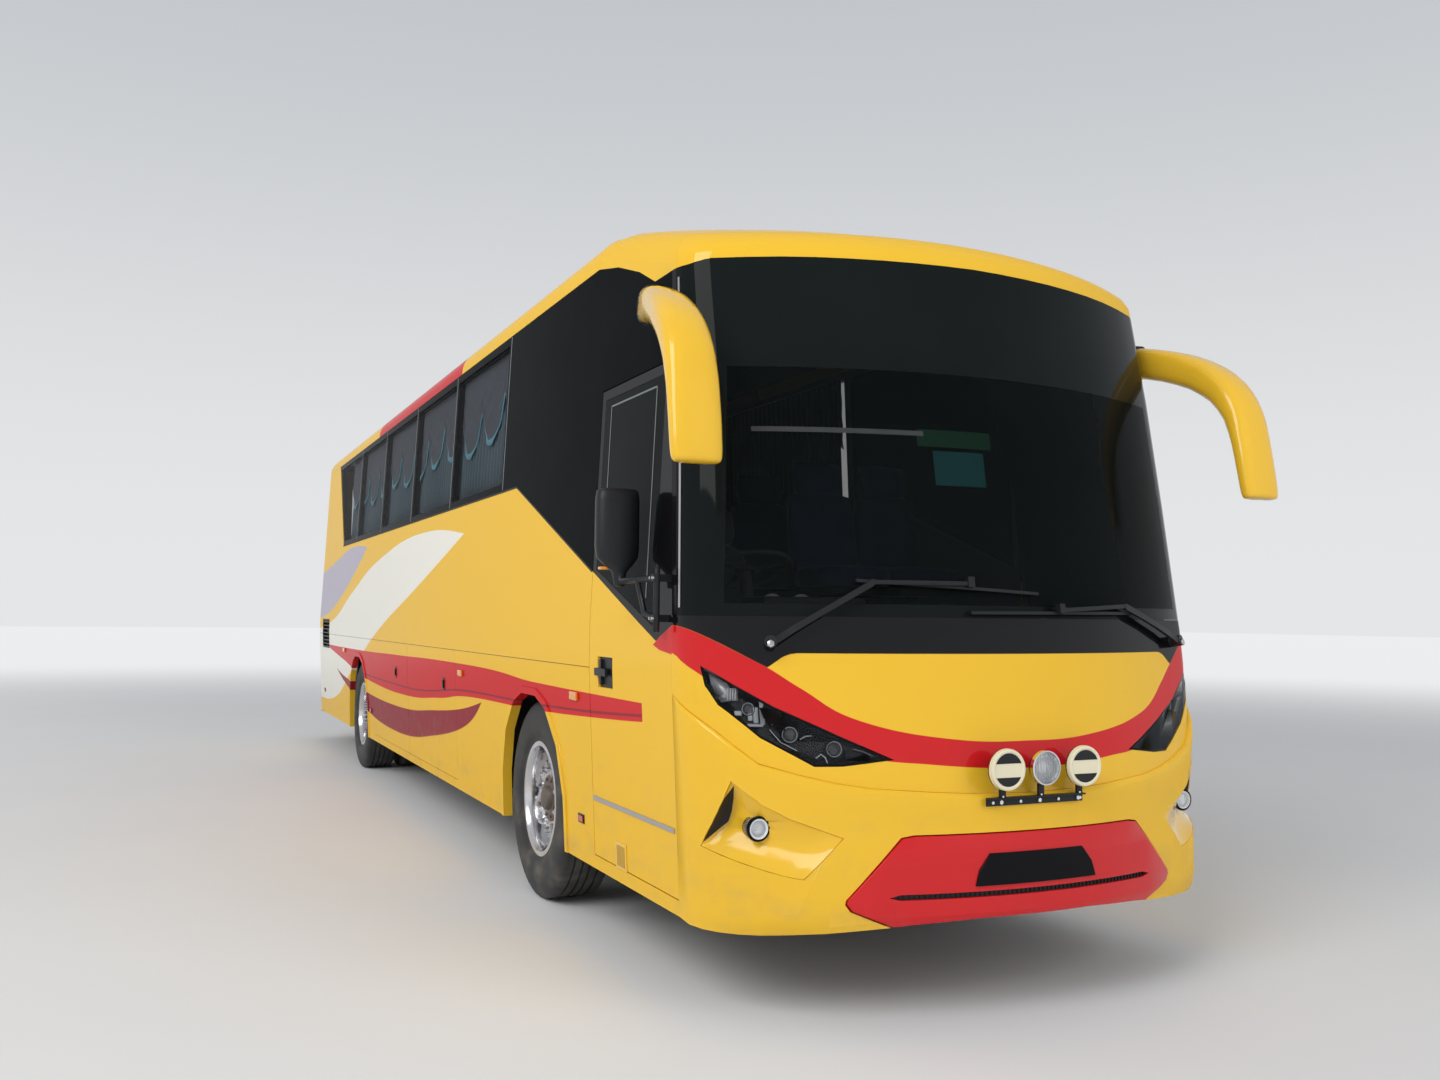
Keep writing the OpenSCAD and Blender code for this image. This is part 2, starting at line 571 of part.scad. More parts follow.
lip_out = 8;
lip_w = 38;
module side_panel(s) {
    color("#f6d03a") difference() {
        union() {
            side_slab(s, x_tail, x_nose, skirt_z, cove_seam_z - seam / 2, 0, wall);
            for (x = [x_fa, x_ra]) intersection() {
                side_slab(s, x - arch_hl - lip_w, x + arch_hl + lip_w, skirt_z, arch_top_z + lip_w, -lip_out, wall - 5);
                through_side(s) arch_outline(x, lip_w);
            }
        }
        intersection() {
            side_slab(s, x_tail - 10, x_nose + 20, window_z - 1000, cove_z + 5, -20, glass_t + rest_gap);
            through_side(s) band_outline();
        }
        through_side(s) ahead_outline(seam / 2);
        through_side(s) window_holes();
        through_side(s) door_outline(door_gap);
        through_side(s) for (x = [x_fa, x_ra]) arch_outline(x);
        through_side(s) for (k = [0, 1]) flap_outline(k, door_gap / 2);
        through_side(s) grille_outline(0);
    }
}
module right_side() { side_panel(-1); }
module left_side() { side_panel(1); }

module side_glass(s) {
    color("#15181b") difference() {
        intersection() {
            side_slab(s, x_tail, x_nose, window_z - 900, cove_seam_z - seam / 2, 0, glass_t);
            through_side(s) offset_band();
        }
        through_side(s) ahead_outline(seam / 2);
        through_side(s) door_outline(door_gap);
        through_side(s) for (x = bay_ends) translate([x_fa + x - 3, 0]) square([6, 4000]);
    }
}
module offset_band() {
    polygon([[glass_rear_low + 5, window_z + 3], [glass_rear_high + 5, cove_seam_z + 10],
        [x_nose + 10, cove_seam_z + 10], [x_nose + 10, diag_z(x_nose) + 4], [diag_x, window_z + 3]]);
}
module right_glass() { side_glass(-1); }
module left_glass() { side_glass(1); }

// Roof section from one cove edge to the centre line, inset by i
function roof_line(i) = concat([[half_width(cove_seam_z) - i, cove_seam_z + seam / 2]],
    [for (k = [0:6]) let(a = cove_turn * k / 6) [cove_yc + (cove_r - i) * cos(a), cove_z + (cove_r - i) * sin(a)]],
    [for (k = [5:-1:0]) let(y = edge_y * k / 6) [y, crown_z(y) - i]]);
function both_sides(p) = concat(p, [for (k = [len(p) - 2:-1:0]) [-p[k][0], p[k][1]]]);
module roof_skin() {
    color("#f6d03a") along_x(x_tail + rear_dome_l + seam, x_nose - dome_l - seam / 2)
        polygon(concat(both_sides(roof_line(0)), reversed(both_sides(roof_line(wall)))));
}
module roof_dome() {
    mid = [for (t = steps(1)) if (abs(t) < cap_t - 0.01) t];
    far = [cap_t + seam_t, 1, dome_cols[0], dome_cols[1], dome_cols[2], dome_cols[3]];
    color("#f6d03a") for (ts = [concat([seam_t - cap_t], mid, [cap_t - seam_t]), far, -1 * reversed(far)])
        dome(front_end, ts, [for (t = ts) front_low(t) + (abs(t) < 1.99 ? seam / 2 : 0)], 0, wall);
}
module rear_dome() {
    color("#f6d03a") mirror([1, 0, 0]) dome(rear_end, steps(2), [for (t = steps(2)) cove_seam_z], 0, wall);
}

// Columns: distance from the centre line, height, round the lamp from its outer top
headlamp_pts = [[1198, 1302], [1099, 1233], [971, 1154], [739, 1043], [559, 962], [746, 939], [847, 938],
    [1025, 1041], [1152, 1158], [1187, 1228]];
module headlamp_outline(s, k = 1) {
    polygon([for (p = headlamp_pts) [s * (1000 + (p[0] - 1000) * k), 1090 + (p[1] - 1090) * k]]);
}
// Crease between the front fascia and the bumper. Columns: step round the nose, height above the crease's middle
crease_rows = [[0, 0], [0.15, 6], [0.33, 33], [0.4, 59], [0.46, 93], [0.56, 157], [0.62, 207], [0.75, 269],
    [0.955, 345], [1, 360]];
function crease_z(t) = bumper_z + lookup(abs(t), crease_rows);
// How far the bumper's upper edge stands ahead of the fascia
lip = 20;
function fascia_rows(t) = let(s = crease_z(t) + seam / 2, d = 1330 - s)
    [[s, 0], [s + 0.2 * d, 0], [s + 0.55 * d, 0], [1330, 0], [waist_z, 0], [screen_z - seam / 2, 0]];
// Lower edge of the bumper: level with the skirt at the corners, raised to the insert in the middle
function chin_z(t) = bumper_low_z + lookup(abs(t), [[0.3, 40], [0.345, 38], [0.4, 25], [0.47, 15], [0.62, 5], [0.8, 0],
    [0.92, 3], [1, skirt_z - bumper_low_z]]);
function bumper_rows(t) = let(s = crease_z(t) - seam / 2 - (abs(t) > 0.45 && abs(t) < 0.95 ? 1.2 : 0), d = s - 600, p = lip * (1 - pow(abs(t), 6)))
    [[chin_z(t), 0], [chin_z(t) + 25, 0], [chin_z(t) + 80, 0], [600, 0], [600 + 0.4 * d, 0.1 * p], [600 + 0.7 * d, 0.45 * p],
        [s - 22, p], [s - 6, 0.9 * p], [s, 0.5 * p]];
module front_fascia() {
    color("#f6d03a") difference() {
        skin_rows(front_end, steps(1), function(t) fascia_rows(t), 0, wall);
        for (s = [-1, 1]) along_x(x_nose - 40, x_front + 50) headlamp_outline(s);
    }
}

insert_side = [[-508, 692], [-556, 684], [-606, 632], [-762, 466], [-765, 450], [-748, 425], [-672, 393],
    [-598, 363], [-500, 371], [-250, 382]];
insert_pts = concat(insert_side, [for (p = reversed(insert_side)) [-p[0], p[1]]]);
// Corners of the fog lamp recess as [step round the nose, height]: bottom outer, bottom inner, top outer, top inner
recess = [[0.838, 635], [0.477, 539], [0.645, 882], [0.387, 684]];
// Point at u from the recess's outer side and v from its bottom, at inset i on side s
function recess_pt(s, u, v, i) = let(a = recess[0] + (recess[1] - recess[0]) * u,
    b = recess[2] + (recess[3] - recess[2]) * u, p = a + (b - a) * v) skin_pt(front_end, s * p[0], p[1], i);
recess_u = [0, 0.035, 0.14, 0.4, 0.65, 0.86, 0.97, 1];
recess_v = [0, 0.05, 0.36, 0.52, 0.74, 0.96, 1];
// Depth of the recess: deepest at its outer side and behind the lamp
function recess_depth(u, v) = u < 0.01 || u > 0.99 || v < 0.01 || v > 0.99 ? 3
    : lookup(u, [[0.035, 92], [0.14, 72], [0.4, 68], [0.65, 60], [0.86, 40], [0.97, 14]])
    * lookup(v, [[0.05, 0.25], [0.36, 1], [0.52, 0.98], [0.74, 0.7], [0.96, 0.14]]);
// Widens the ends of a list of places from 0 to 1 by g
function widened(p, g) = [for (k = [0:len(p) - 1]) k == 0 ? p[0] - g : k == len(p) - 1 ? p[k] + g : p[k]];
module recess_cut(s) {
    us = side_order(s, widened(recess_u, 0.003));
    vs = widened(recess_v, 0.006);
    grid_solid([for (v = vs) [for (u = us) recess_pt(s, u, v, -lip - 5)]],
        [for (v = vs) [for (u = us) recess_pt(s, u, v, wall + 5)]]);
}
// The grid runs from the bus's right to its left
function side_order(s, p) = s < 0 ? p : reversed(p);
module front_bumper() {
    color("#f6d03a") difference() {
        skin_rows(front_end, steps(1), function(t) bumper_rows(t), 0, wall);
        along_x(x_nose, x_front + 50) polygon(insert_pts);
        block(x_nose, x_front + 50, -598, 598, 0, 400);
        for (s = [-1, 1]) recess_cut(s);
    }
}
// The insert's outline drawn in towards its middle
module insert_outline(ky, kz) { polygon([for (p = insert_pts) [p[0] * ky, 510 + (p[1] - 510) * kz]]); }
module bumper_insert() {
    color("#d42430") difference() {
        union() {
            intersection() {
                skin(front_end, face_steps, 320, 700, 26, wall);
                along_x(x_nose, x_front + 50) insert_outline(0.9992, 0.998);
            }
            intersection() {
                skin(front_end, face_steps, 320, 700, -6, 28);
                along_x(x_nose, x_front + 50) insert_outline(0.991, 0.972);
            }
        }
        along_x(x_nose, x_front + 50) polygon([[-610, 472], [-570, 462], [570, 462], [610, 472], [570, 482],
            [-570, 482]]);
    }
}
module number_plate() {
    color("#101112") intersection() {
        skin(front_end, face_steps, 480, 640, -14, -6 - rest_gap);
        along_x(x_nose, x_front + 50) polygon([[-280, 502], [280, 502], [262, 560], [215, 618], [-215, 618], [-262, 560]]);
    }
}

module screen_frame() {
    zs = heights(front_end, screen_z + seam / 2, screen_top_z - 70);
    color("#111315") for (s = [-1, 1]) {
        ts = s > 0 ? [screen_t + 0.0008, cap_t, 1] : [-1, -cap_t, -screen_t - 0.0008];
        g = [for (i = [0, wall]) concat([for (z = zs) [for (t = ts) skin_pt(front_end, t, z, i)]],
            [[for (t = ts) skin_pt(front_end, t, front_low(t) - seam / 2, i)]])];
        grid_solid(g[0], g[1]);
    }
}
module windscreen() {
    color("#1a2024") skin_rows(front_end, steps(screen_t), function(t) [[screen_z + seam / 2, 0], [2000, 0], [2500, 0],
        [screen_top_z - 70, 0], [front_low(t) - seam / 2, 0]], 0, glass_t);
}

lid_hw = 720;
tail_z = 500;
lid_low_z = 520;
lid_top_z = 1240;
rear_glass_hw = 900;
module rear_cut(hw, z0, z1) { along_x(-x_tail, -x_rear + 50) translate([-hw, z0]) square([2 * hw, z1 - z0]); }
module tail_lamp_cut(s, g) { along_x(-x_tail, -x_rear + 50) translate([s * 1040 - 65 - g, 820 - g]) square([130 + 2 * g, 620 + 2 * g]); }
module rear_wall() {
    color("#f6d03a") mirror([1, 0, 0]) difference() {
        skin(rear_end, steps(1), tail_z + seam / 2, cove_seam_z - seam, 0, wall);
        rear_cut(lid_hw + door_gap, lid_low_z - door_gap, lid_top_z + hinge_gap);
        rear_cut(rear_glass_hw, window_z + 20, window_z + 780);
        for (s = [-1, 1]) tail_lamp_cut(s, 0);
    }
}
module rear_bumper() {
    color("#f6d03a") mirror([1, 0, 0]) skin(rear_end, steps(1), bumper_low_z, tail_z - seam / 2, 0, wall);
}
module rear_window() {
    color("#15181b") mirror([1, 0, 0]) intersection() {
        skin(rear_end, face_steps, window_z + 20.6, window_z + 779.4, 0, glass_t);
        rear_cut(rear_glass_hw - 0.6, window_z, window_z + 1000);
    }
}
module engine_lid() {
    color("#f6d03a") mirror([1, 0, 0]) intersection() {
        skin(rear_end, face_steps, lid_low_z, lid_top_z, 0, 32);
        rear_cut(lid_hw, 0, 2000);
    }
}

// Lamps

module headlamps() {
    color("#dfe6ea") for (s = [-1, 1]) intersection() {
        skin_rows(front_end, side_steps(s, 0.25, 1), function(t) fascia_rows(t), 2, wall + 50);
        along_x(x_nose - 30, x_front) headlamp_outline(s, 0.997);
    }
}
fog_t = 0.559;
fog_z = 710;
fog_r = 40;
module fog_lamps() {
    color("#3a3d40") for (s = [-1, 1]) {
        tray(s);
        p = skin_pt(front_end, s * fog_t, fog_z, 0);
        translate([p[0] - 95, p[1], fog_z]) rotate([0, 90, 0]) cylinder(r = fog_r, h = 62, $fn = 36);
    }
}
// Moulded tray that lines the recess
module tray(s) {
    n = len(recess_u) - 1;
    m = len(recess_v) - 1;
    us = side_order(s, [for (k = [0:n]) k]);
    back_u = [for (k = [0:n]) k == 1 ? 0.015 : k == n - 1 ? 0.985 : recess_u[k]];
    back_v = [for (k = [0:m]) k == 1 ? 0.022 : k == m - 1 ? 0.978 : recess_v[k]];
    grid_solid([for (j = [0:m]) [for (k = us) recess_pt(s, recess_u[k], recess_v[j], recess_depth(recess_u[k], recess_v[j]))]],
        [for (j = [0:m]) [for (k = us) recess_pt(s, back_u[k], back_v[j], 14 + recess_depth(recess_u[k], recess_v[j]))]]);
}
// Driving lamps, from the bus's right. Columns: distance from the centre line, radius
lamps = [[-167, 78], [11, 65], [194, 78]];
lamp_z = 928;
module driving_lamps() {
    back_x = face_x(0, bumper_z + 8) + 12;
    bar_x = face_x(0, bumper_z - 20) + lip + rest_gap;
    reach = x_front + lamp_reach - back_x - 30;
    color("#e7e1c4") {
        for (p = lamps) translate([back_x, p[0], lamp_z]) rotate([0, 90, 0]) {
            translate([0, 0, reach]) cylinder(r = p[1], h = 30, $fn = 36);
            cylinder(r1 = 0.45 * p[1], r2 = p[1], h = reach, $fn = 36);
        }
        block(bar_x, bar_x + 6, lamps[0][0] - 65, lamps[2][0] + 25, bumper_z - 40, bumper_z - 8);
        block(bar_x, bar_x + 26, lamps[0][0] - 65, lamps[2][0] + 25, bumper_z - 14, bumper_z - 8);
        for (p = lamps) block(bar_x + 8, bar_x + 20, p[0] - 12, p[0] + 12, bumper_z - 12, lamp_z - 25);
    }
}
module tail_lamps() {
    color("#b3202a") mirror([1, 0, 0]) for (s = [-1, 1]) intersection() {
        skin(rear_end, side_steps(s, 0.4, 0.8), 815, 1445, 0, wall);
        tail_lamp_cut(s, -0.6);
    }
}
module marker_lamps() {
    color("#e58a1f") for (s = [-1, 1], x = [x_fa + 790, x_fa - 1600, x_ra - 900])
        intersection() {
            side_slab(s, x - 50, x + 50, 1085, 1125, -14, -rest_gap);
            block(x - 50, x + 50, -2000, 2000, 1085, 1125);
        }
}

// Fittings outside

// A wiper is [pivot, elbow, clip, blade's ends], each a [step round the nose, height]
wipers_at = [[[-0.423, 1387], [-0.253, 1622], [-0.088, 1622], [-0.28, 1628], [0.047, 1588]],
    [[0.448, 1393], [0.253, 1545], [0.089, 1524], [-0.088, 1510], [0.3, 1516]]];
// Frame on the nose at step t and height z, with its x axis along the outward normal
module on_nose(t, z) {
    p = skin_pt(front_end, t, z, 0);
    rake = atan((lookup(z + 5, front_rows) - lookup(z - 5, front_rows)) / 10);
    translate(p) rotate([0, -rake, asin(p[1] / nose_r)]) children();
}
// Bar on the nose between two places, w high, from inset i0 to i1
module nose_bar(a, b, w, i0, i1) {
    at = [for (k = [0:4]) a + (b - a) * k / 4];
    ps = a[0] < b[0] ? at : reversed(at);
    grid_solid([for (d = [-w / 2, w / 2]) [for (p = ps) skin_pt(front_end, p[0], p[1] + d, i0)]],
        [for (d = [-w / 2, w / 2]) [for (p = ps) skin_pt(front_end, p[0], p[1] + d, i1)]]);
}
module wipers() {
    color("#17181a") for (w = wipers_at) {
        on_nose(w[0][0], w[0][1]) translate([rest_gap, 0, 0]) rotate([0, 90, 0]) cylinder(r = 24, h = 50, $fn = 24);
        nose_bar(w[0], w[1], 26, -47, -30);
        nose_bar(w[1], w[2], 16, -46, -27);
        nose_bar(w[3], w[4], 12, -31, -3);
        on_nose(w[2][0], w[2][1]) translate([22, -14, -20]) cube([28, 28, 40]);
    }
}

// Closed sleeve through rings. A ring is [x, y, z, slope downwards, half height, half width]
module sleeve(rings, n = 20) {
    m = len(rings);
    pts = [for (r = rings) each [for (k = [0:n - 1]) let(c = cos(360 * k / n), d = sin(360 * k / n),
        u = r[4] * sign(c) * pow(abs(c), 0.7), w = r[5] * sign(d) * pow(abs(d), 0.7))
        [r[0] + u * sin(r[3]), r[1] + w, r[2] + u * cos(r[3])]]];
    polyhedron(pts, concat([[for (k = [n - 1:-1:0]) k]], [[for (k = [0:n - 1]) (m - 1) * n + k]],
        [for (j = [0:m - 2], k = [0:n - 1]) let(a = j * n + k, b = j * n + (k + 1) % n)
            each [[a, b, b + n], [a, b + n, a + n]]]));
}
// Columns: place ahead of the front axle, distance from the centre line, height, slope, half height, half width
mirror_rings = [[1710, 1262, 2765, 12, 66, 34], [1722, 1264, 2762, 12, 74, 42], [1820, 1280, 2745, 14, 75, 54],
    [2000, 1310, 2700, 18, 76, 68], [2180, 1335, 2630, 28, 78, 84], [2320, 1348, 2530, 45, 73, 95],
    [2400, 1352, 2410, 65, 56, 100], [2435, 1352, 2280, 82, 44, 101], [2462, 1354, 2130, 83, 40, 101],
    [2474, 1355, 2052, 83, 38, 99], [2478, 1355, 2032, 83, 33, 93], [2479, 1355, 2024, 83, 24, 82]];
module front_mirror() {
    sleeve([for (r = mirror_rings) [x_fa + r[0], r[1], r[2], r[3], r[4], r[5]]]);
    side_slab(1, x_fa + 1640, x_fa + 1745, 2695, 2845, -58, -rest_gap);
}
module front_mirrors() {
    color("#f0c530") {
        front_mirror();
        mirror([0, 1, 0]) front_mirror();
    }
}

module side_grilles() {
    n = 8;
    pitch = (grille_z1 - grille_z0) / n;
    color("#202224") for (s = [-1, 1]) {
        difference() {
            side_slab(s, grille_x0 + 0.5, grille_x1 - 0.5, grille_z0 + 0.5, grille_z1 - 0.5, 4, wall - 5);
            through_side(s) translate([grille_x0 + 20, grille_z0 + 20])
                square([grille_x1 - grille_x0 - 40, grille_z1 - grille_z0 - 40]);
        }
        for (k = [1:n - 1]) side_slab(s, grille_x0 + 18, grille_x1 - 18, grille_z0 + k * pitch,
            grille_z0 + k * pitch + 12, 8, wall - 10);
    }
}

// Inside

module dashboard() {
    y = half_w - wall - 240;
    color("#2a2c2e") translate([0, y - 600, 0]) rotate([90, 0, 0]) linear_extrude(2 * y - 600)
        polygon([[cab_front - 500, cab_floor_z + rest_gap], [cab_front - 520, cab_floor_z + 440],
            [cab_front - 440, cab_floor_z + 560], [cab_front - 100, cab_floor_z + 500],
            [cab_front - 60, cab_floor_z + rest_gap]]);
}
wheel_x = x_fa + 1330;
wheel_z = cab_floor_z + 760;
module steering_wheel() {
    color("#1c1d1f") difference() {
        translate([wheel_x, -620, wheel_z]) rotate([0, -20, 0]) {
            rotate_extrude($fn = 48) translate([215, 0]) circle(r = 14, $fn = 16);
            for (a = [0, 120, 240]) rotate([0, 0, a]) translate([0, -14, -8]) cube([212, 28, 14]);
            cylinder(r = 55, h = 30, center = true, $fn = 36);
            translate([0, 0, -1000]) cylinder(r = 32, h = 995, $fn = 36);
        }
        block(x_fa, x_front, -900, -300, 0, cab_floor_z + rest_gap);
    }
}
module driver_seat() {
    color("#3a3d42") translate([0, -380, cab_floor_z + rest_gap]) rotate([90, 0, 0]) linear_extrude(480)
        seat_side(x_fa + 905);
}
module seat_side(x) {
    polygon([[x + 60, 0], [x + 80, 330], [x - 20, 345], [x - 120, 1080], [x - 40, 1090], [x + 60, 460],
        [x + 440, 470], [x + 450, 360], [x + 300, 330], [x + 320, 0]]);
}
seat_pitch = 780;
seat_rows = 1 + floor((x_fa + 120 - x_rear - 740) / seat_pitch);
module passenger_seats() {
    color("#34415e") for (k = [0:seat_rows - 1], y = [-240, 1150])
        translate([0, y, floor_z + rest_gap]) rotate([90, 0, 0]) linear_extrude(910)
            seat_side(x_fa + 120 - k * seat_pitch);
}

// Doors and flaps

module door_window(g) {
    x0 = x_fa + door_rear + 70;
    x1 = x_fa + door_front - 230;
    polygon([[x0 - g, diag_z(x0) + 60 - g], [x0 - g, door_top_z - 70 + g], [x1 + g, door_top_z - 70 + g],
        [x1 + g, diag_z(x1) + 60 - g]]);
}
// Recess of the driver's door handle
handle = [x_fa + 1137, x_fa + 1332, 1167, 1303];
handle_in = 20;
module handle_box(g, i0, i1) {
    side_slab(-1, handle[0] - g, handle[1] + g, handle[2] - g, handle[3] + g, i0, i1);
}
module door_handle() {
    z = (handle[2] + handle[3]) / 2;
    color("#1a1b1d") {
        handle_box(-0.5, handle_in - 8, handle_in - rest_gap);
        side_slab(-1, handle[0] + 18, handle[0] + 46, handle[2] + 12, handle[3] - 12, -2, handle_in - 4);
        side_slab(-1, handle[0] - 10, handle[1] - 60, z - 17, z + 17, -14, -2 + 1);
    }
}
module door_leaf(s) {
    color("#f6d03a") difference() {
        intersection() {
            side_slab(s, x_fa + door_rear, x_nose, door_low_z, door_top_z, 0, wall);
            through_side(s) door_outline(0);
        }
        through_side(s) door_window(0);
        if (s < 0) handle_box(0, -20, handle_in);
        intersection() {
            side_slab(s, x_fa, x_nose + 20, window_z - 1000, cove_z, -20, glass_t + rest_gap);
            through_side(s) door_window(25);
        }
    }
}
module door_glass(s) {
    color("#15181b") intersection() {
        side_slab(s, x_fa, x_nose, window_z - 1000, cove_z, 0, glass_t);
        through_side(s) door_window(23);
    }
}
module driver_door() { door_leaf(-1); }
module driver_door_glass() { door_glass(-1); }
module passenger_door() { door_leaf(1); }
module passenger_door_glass() { door_glass(1); }

// Round bar between two points
module rod(a, b, r) {
    d = b - a;
    translate(a) rotate([0, acos(d[2] / norm(d)), atan2(d[1], d[0])]) cylinder(r = r, h = norm(d), $fn = 24);
}
mirror_tube = [x_fa + 1970, -1300];
// Columns: place ahead of the front axle, distance from the centre line, height, slope, half depth, half width
door_mirror_rings = [[1680, 1362, 2003, 90, 30, 74], [1680, 1362, 1994, 90, 41, 87], [1680, 1362, 1960, 90, 47, 92],
    [1680, 1362, 1765, 90, 47, 92], [1684, 1362, 1720, 90, 43, 86], [1695, 1360, 1690, 90, 34, 58],
    [1706, 1360, 1662, 90, 22, 30], [1710, 1360, 1605, 90, 19, 20]];
module door_mirror() {
    tube = [mirror_tube[0], mirror_tube[1], 0];
    neck = [x_fa + 1710, -1360, 1624];
    color("#151617") {
        mirror([0, 1, 0]) sleeve([for (r = door_mirror_rings) [x_fa + r[0], r[1], r[2], r[3], r[4], r[5]]]);
        rod(neck, tube + [0, 0, 1634], 13);
        rod(neck + [130, 28, 4], neck + [185, 40, -128], 11);
        rod(neck + [180, 38, -126], tube + [0, 0, 1478], 11);
        rod(tube + [0, 0, 1425], tube + [0, 0, 1680], 13);
        for (z = [1463, 1620]) block(tube[0] - 24, tube[0] + 12, tube[1] - 16, -half_width(z) - rest_gap, z, z + 28);
    }
}

module flap(s, k) {
    x1 = x_fa - flap_start - k * (flap_l + 10);
    color("#f6d03a") side_slab(s, x1 - flap_l, x1, flap_low_z, sill_z, 0, flap_t);
}
module flap_right_front() { flap(-1, 0); }
module flap_right_rear() { flap(-1, 1); }
module flap_left_front() { flap(1, 0); }
module flap_left_rear() { flap(1, 1); }

chassis_frame();
front_axle();
rear_axle();
air_springs();
engine_block();
knuckle_right();
knuckle_left();
front_tyre_right();
front_tyre_left();
front_rim_right();
front_rim_left();
rear_tyres_right();
rear_tyres_left();
rear_rims_right();
rear_rims_left();
floor_posts();
floor_deck();
entrance_steps();
wheel_tubs();
luggage_hold();
right_side();
left_side();
roof_skin();
roof_dome();
rear_dome();
front_fascia();
front_bumper();
bumper_insert();
screen_frame();
rear_wall();
rear_bumper();
windscreen();
right_glass();
left_glass();
rear_window();
headlamps();
fog_lamps();
driving_lamps();
tail_lamps();
marker_lamps();
number_plate();
wipers();
front_mirrors();
side_grilles();
dashboard();
steering_wheel();
driver_seat();
passenger_seats();
driver_door();
driver_door_glass();
door_handle();
door_mirror();
passenger_door();
passenger_door_glass();
flap_right_front();
flap_right_rear();
flap_left_front();
flap_left_rear();
engine_lid();
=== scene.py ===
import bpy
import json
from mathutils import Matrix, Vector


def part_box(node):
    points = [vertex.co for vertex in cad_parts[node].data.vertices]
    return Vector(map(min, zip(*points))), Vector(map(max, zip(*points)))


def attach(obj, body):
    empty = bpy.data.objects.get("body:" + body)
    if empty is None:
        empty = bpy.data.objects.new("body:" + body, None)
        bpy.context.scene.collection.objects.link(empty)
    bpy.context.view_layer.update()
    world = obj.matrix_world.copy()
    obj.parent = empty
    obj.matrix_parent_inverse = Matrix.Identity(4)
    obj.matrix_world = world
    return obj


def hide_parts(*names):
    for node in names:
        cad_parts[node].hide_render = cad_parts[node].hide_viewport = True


bl_info = {
    "name": "Airport Coach Dresser",
    "version": (1, 0, 0),
    "blender": (4, 5, 0),
    "location": "3D View > Sidebar > Coach",
    "description": "Dresses the packed coach frame with paint, glass, lamps, trim and a plain stage",
    "category": "Object",
}

import json
import math

import bmesh
import bpy
from mathutils import Matrix, Vector

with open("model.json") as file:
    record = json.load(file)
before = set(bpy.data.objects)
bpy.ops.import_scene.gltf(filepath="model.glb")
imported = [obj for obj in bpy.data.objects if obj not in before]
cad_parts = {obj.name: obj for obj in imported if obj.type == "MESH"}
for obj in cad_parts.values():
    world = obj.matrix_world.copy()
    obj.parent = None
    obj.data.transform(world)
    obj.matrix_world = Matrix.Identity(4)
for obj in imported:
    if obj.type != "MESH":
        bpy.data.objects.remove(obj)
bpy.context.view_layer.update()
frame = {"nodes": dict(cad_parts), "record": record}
NODES = frame["nodes"]
BODY_OF = {node: body for body, nodes in frame["record"]["behaviour"]["bodies"].items() for node in nodes}


def low(node):
    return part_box(node)[0]


def high(node):
    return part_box(node)[1]


def middle(node):
    return (low(node) + high(node)) / 2


FRONT_AXLE = middle("front_tyre_right").x
REAR_AXLE = middle("rear_tyres_right").x
AXLE_Z = middle("front_tyre_right").z
TRACK = 1.05
TWIN_PITCH = 0.33
RIGHT, LEFT = -1, 1
SIDES = ((RIGHT, "right"), (LEFT, "left"))
# The nose: radius of its face, its foremost line, and rows of (height, measure)
NOSE_RADIUS = 2.3
NOSE_TIP = 5.96
NOSE_ROWS = ((0.325, 0.045), (0.35, 0.012), (0.405, 0.0), (0.6, 0.012), (0.86, 0.045), (0.9, 0.052), (1.2, 0.095),
             (1.49, 0.148), (2.0, 0.222), (2.5, 0.305), (2.93, 0.4), (3.16, 0.45))
WIDTH_ROWS = ((0.34, 1.205), (1.25, 1.25), (1.45, 1.25), (3.16, 1.172))
EDGE_ROWS = ((1.45, 5.33), (3.16, 5.09))
# The glass band: its lower edge, and where that edge starts to fall towards the front
WINDOW_Z = 2.21
DIAGONAL_X = 2.90
DIAGONAL_SLOPE = -0.364
BAND_BLACK = (0.004, 0.004, 0.005, 1)
HORIZON = (0.78, 0.79, 0.80, 1)


def lookup(value, rows):
    """Measure at a value, from rows of (value, measure)."""
    for (x0, y0), (x1, y1) in zip(rows, rows[1:]):
        if value <= x1:
            return y0 + (y1 - y0) * max(0.0, (value - x0) / (x1 - x0))
    return rows[-1][1]


def nose_point(step, z, inset=0.0):
    """Point of the nose at a step round it, from -1 to 1, and a height."""
    edge, half = lookup(z, EDGE_ROWS), lookup(z, WIDTH_ROWS)
    tip = NOSE_TIP - lookup(z, NOSE_ROWS)
    back = NOSE_RADIUS - tip + edge
    corner = (NOSE_RADIUS ** 2 - back ** 2 - half ** 2) / (2 * (NOSE_RADIUS - half))
    turn = math.asin((half - corner) / (NOSE_RADIUS - corner))
    far, side = abs(step), math.copysign(1, step)
    if far <= 0.5:
        angle = turn * far * 2
        return Vector((tip - NOSE_RADIUS + (NOSE_RADIUS - inset) * math.cos(angle),
                       side * (NOSE_RADIUS - inset) * math.sin(angle), z))
    angle = turn + (math.pi / 2 - turn) * (far - 0.5) * 2
    return Vector((edge + (corner - inset) * math.cos(angle),
                   side * (half - corner + (corner - inset) * math.sin(angle)), z))


def nose_step(y, z):
    """Step round the nose at distance y from the centre line."""
    near, far = 0.0, 1.0
    for _ in range(24):
        half = (near + far) / 2
        if nose_point(half, z).y < abs(y):
            near = half
        else:
            far = half
    return math.copysign(near, y)


def nose_at(y, z, inset=0.0):
    return nose_point(nose_step(y, z), z, inset)


def nose_normal(step, z):
    across = nose_point(step + 0.01, z) - nose_point(step - 0.01, z)
    return across.cross(nose_point(step, z + 0.01) - nose_point(step, z - 0.01)).normalized()


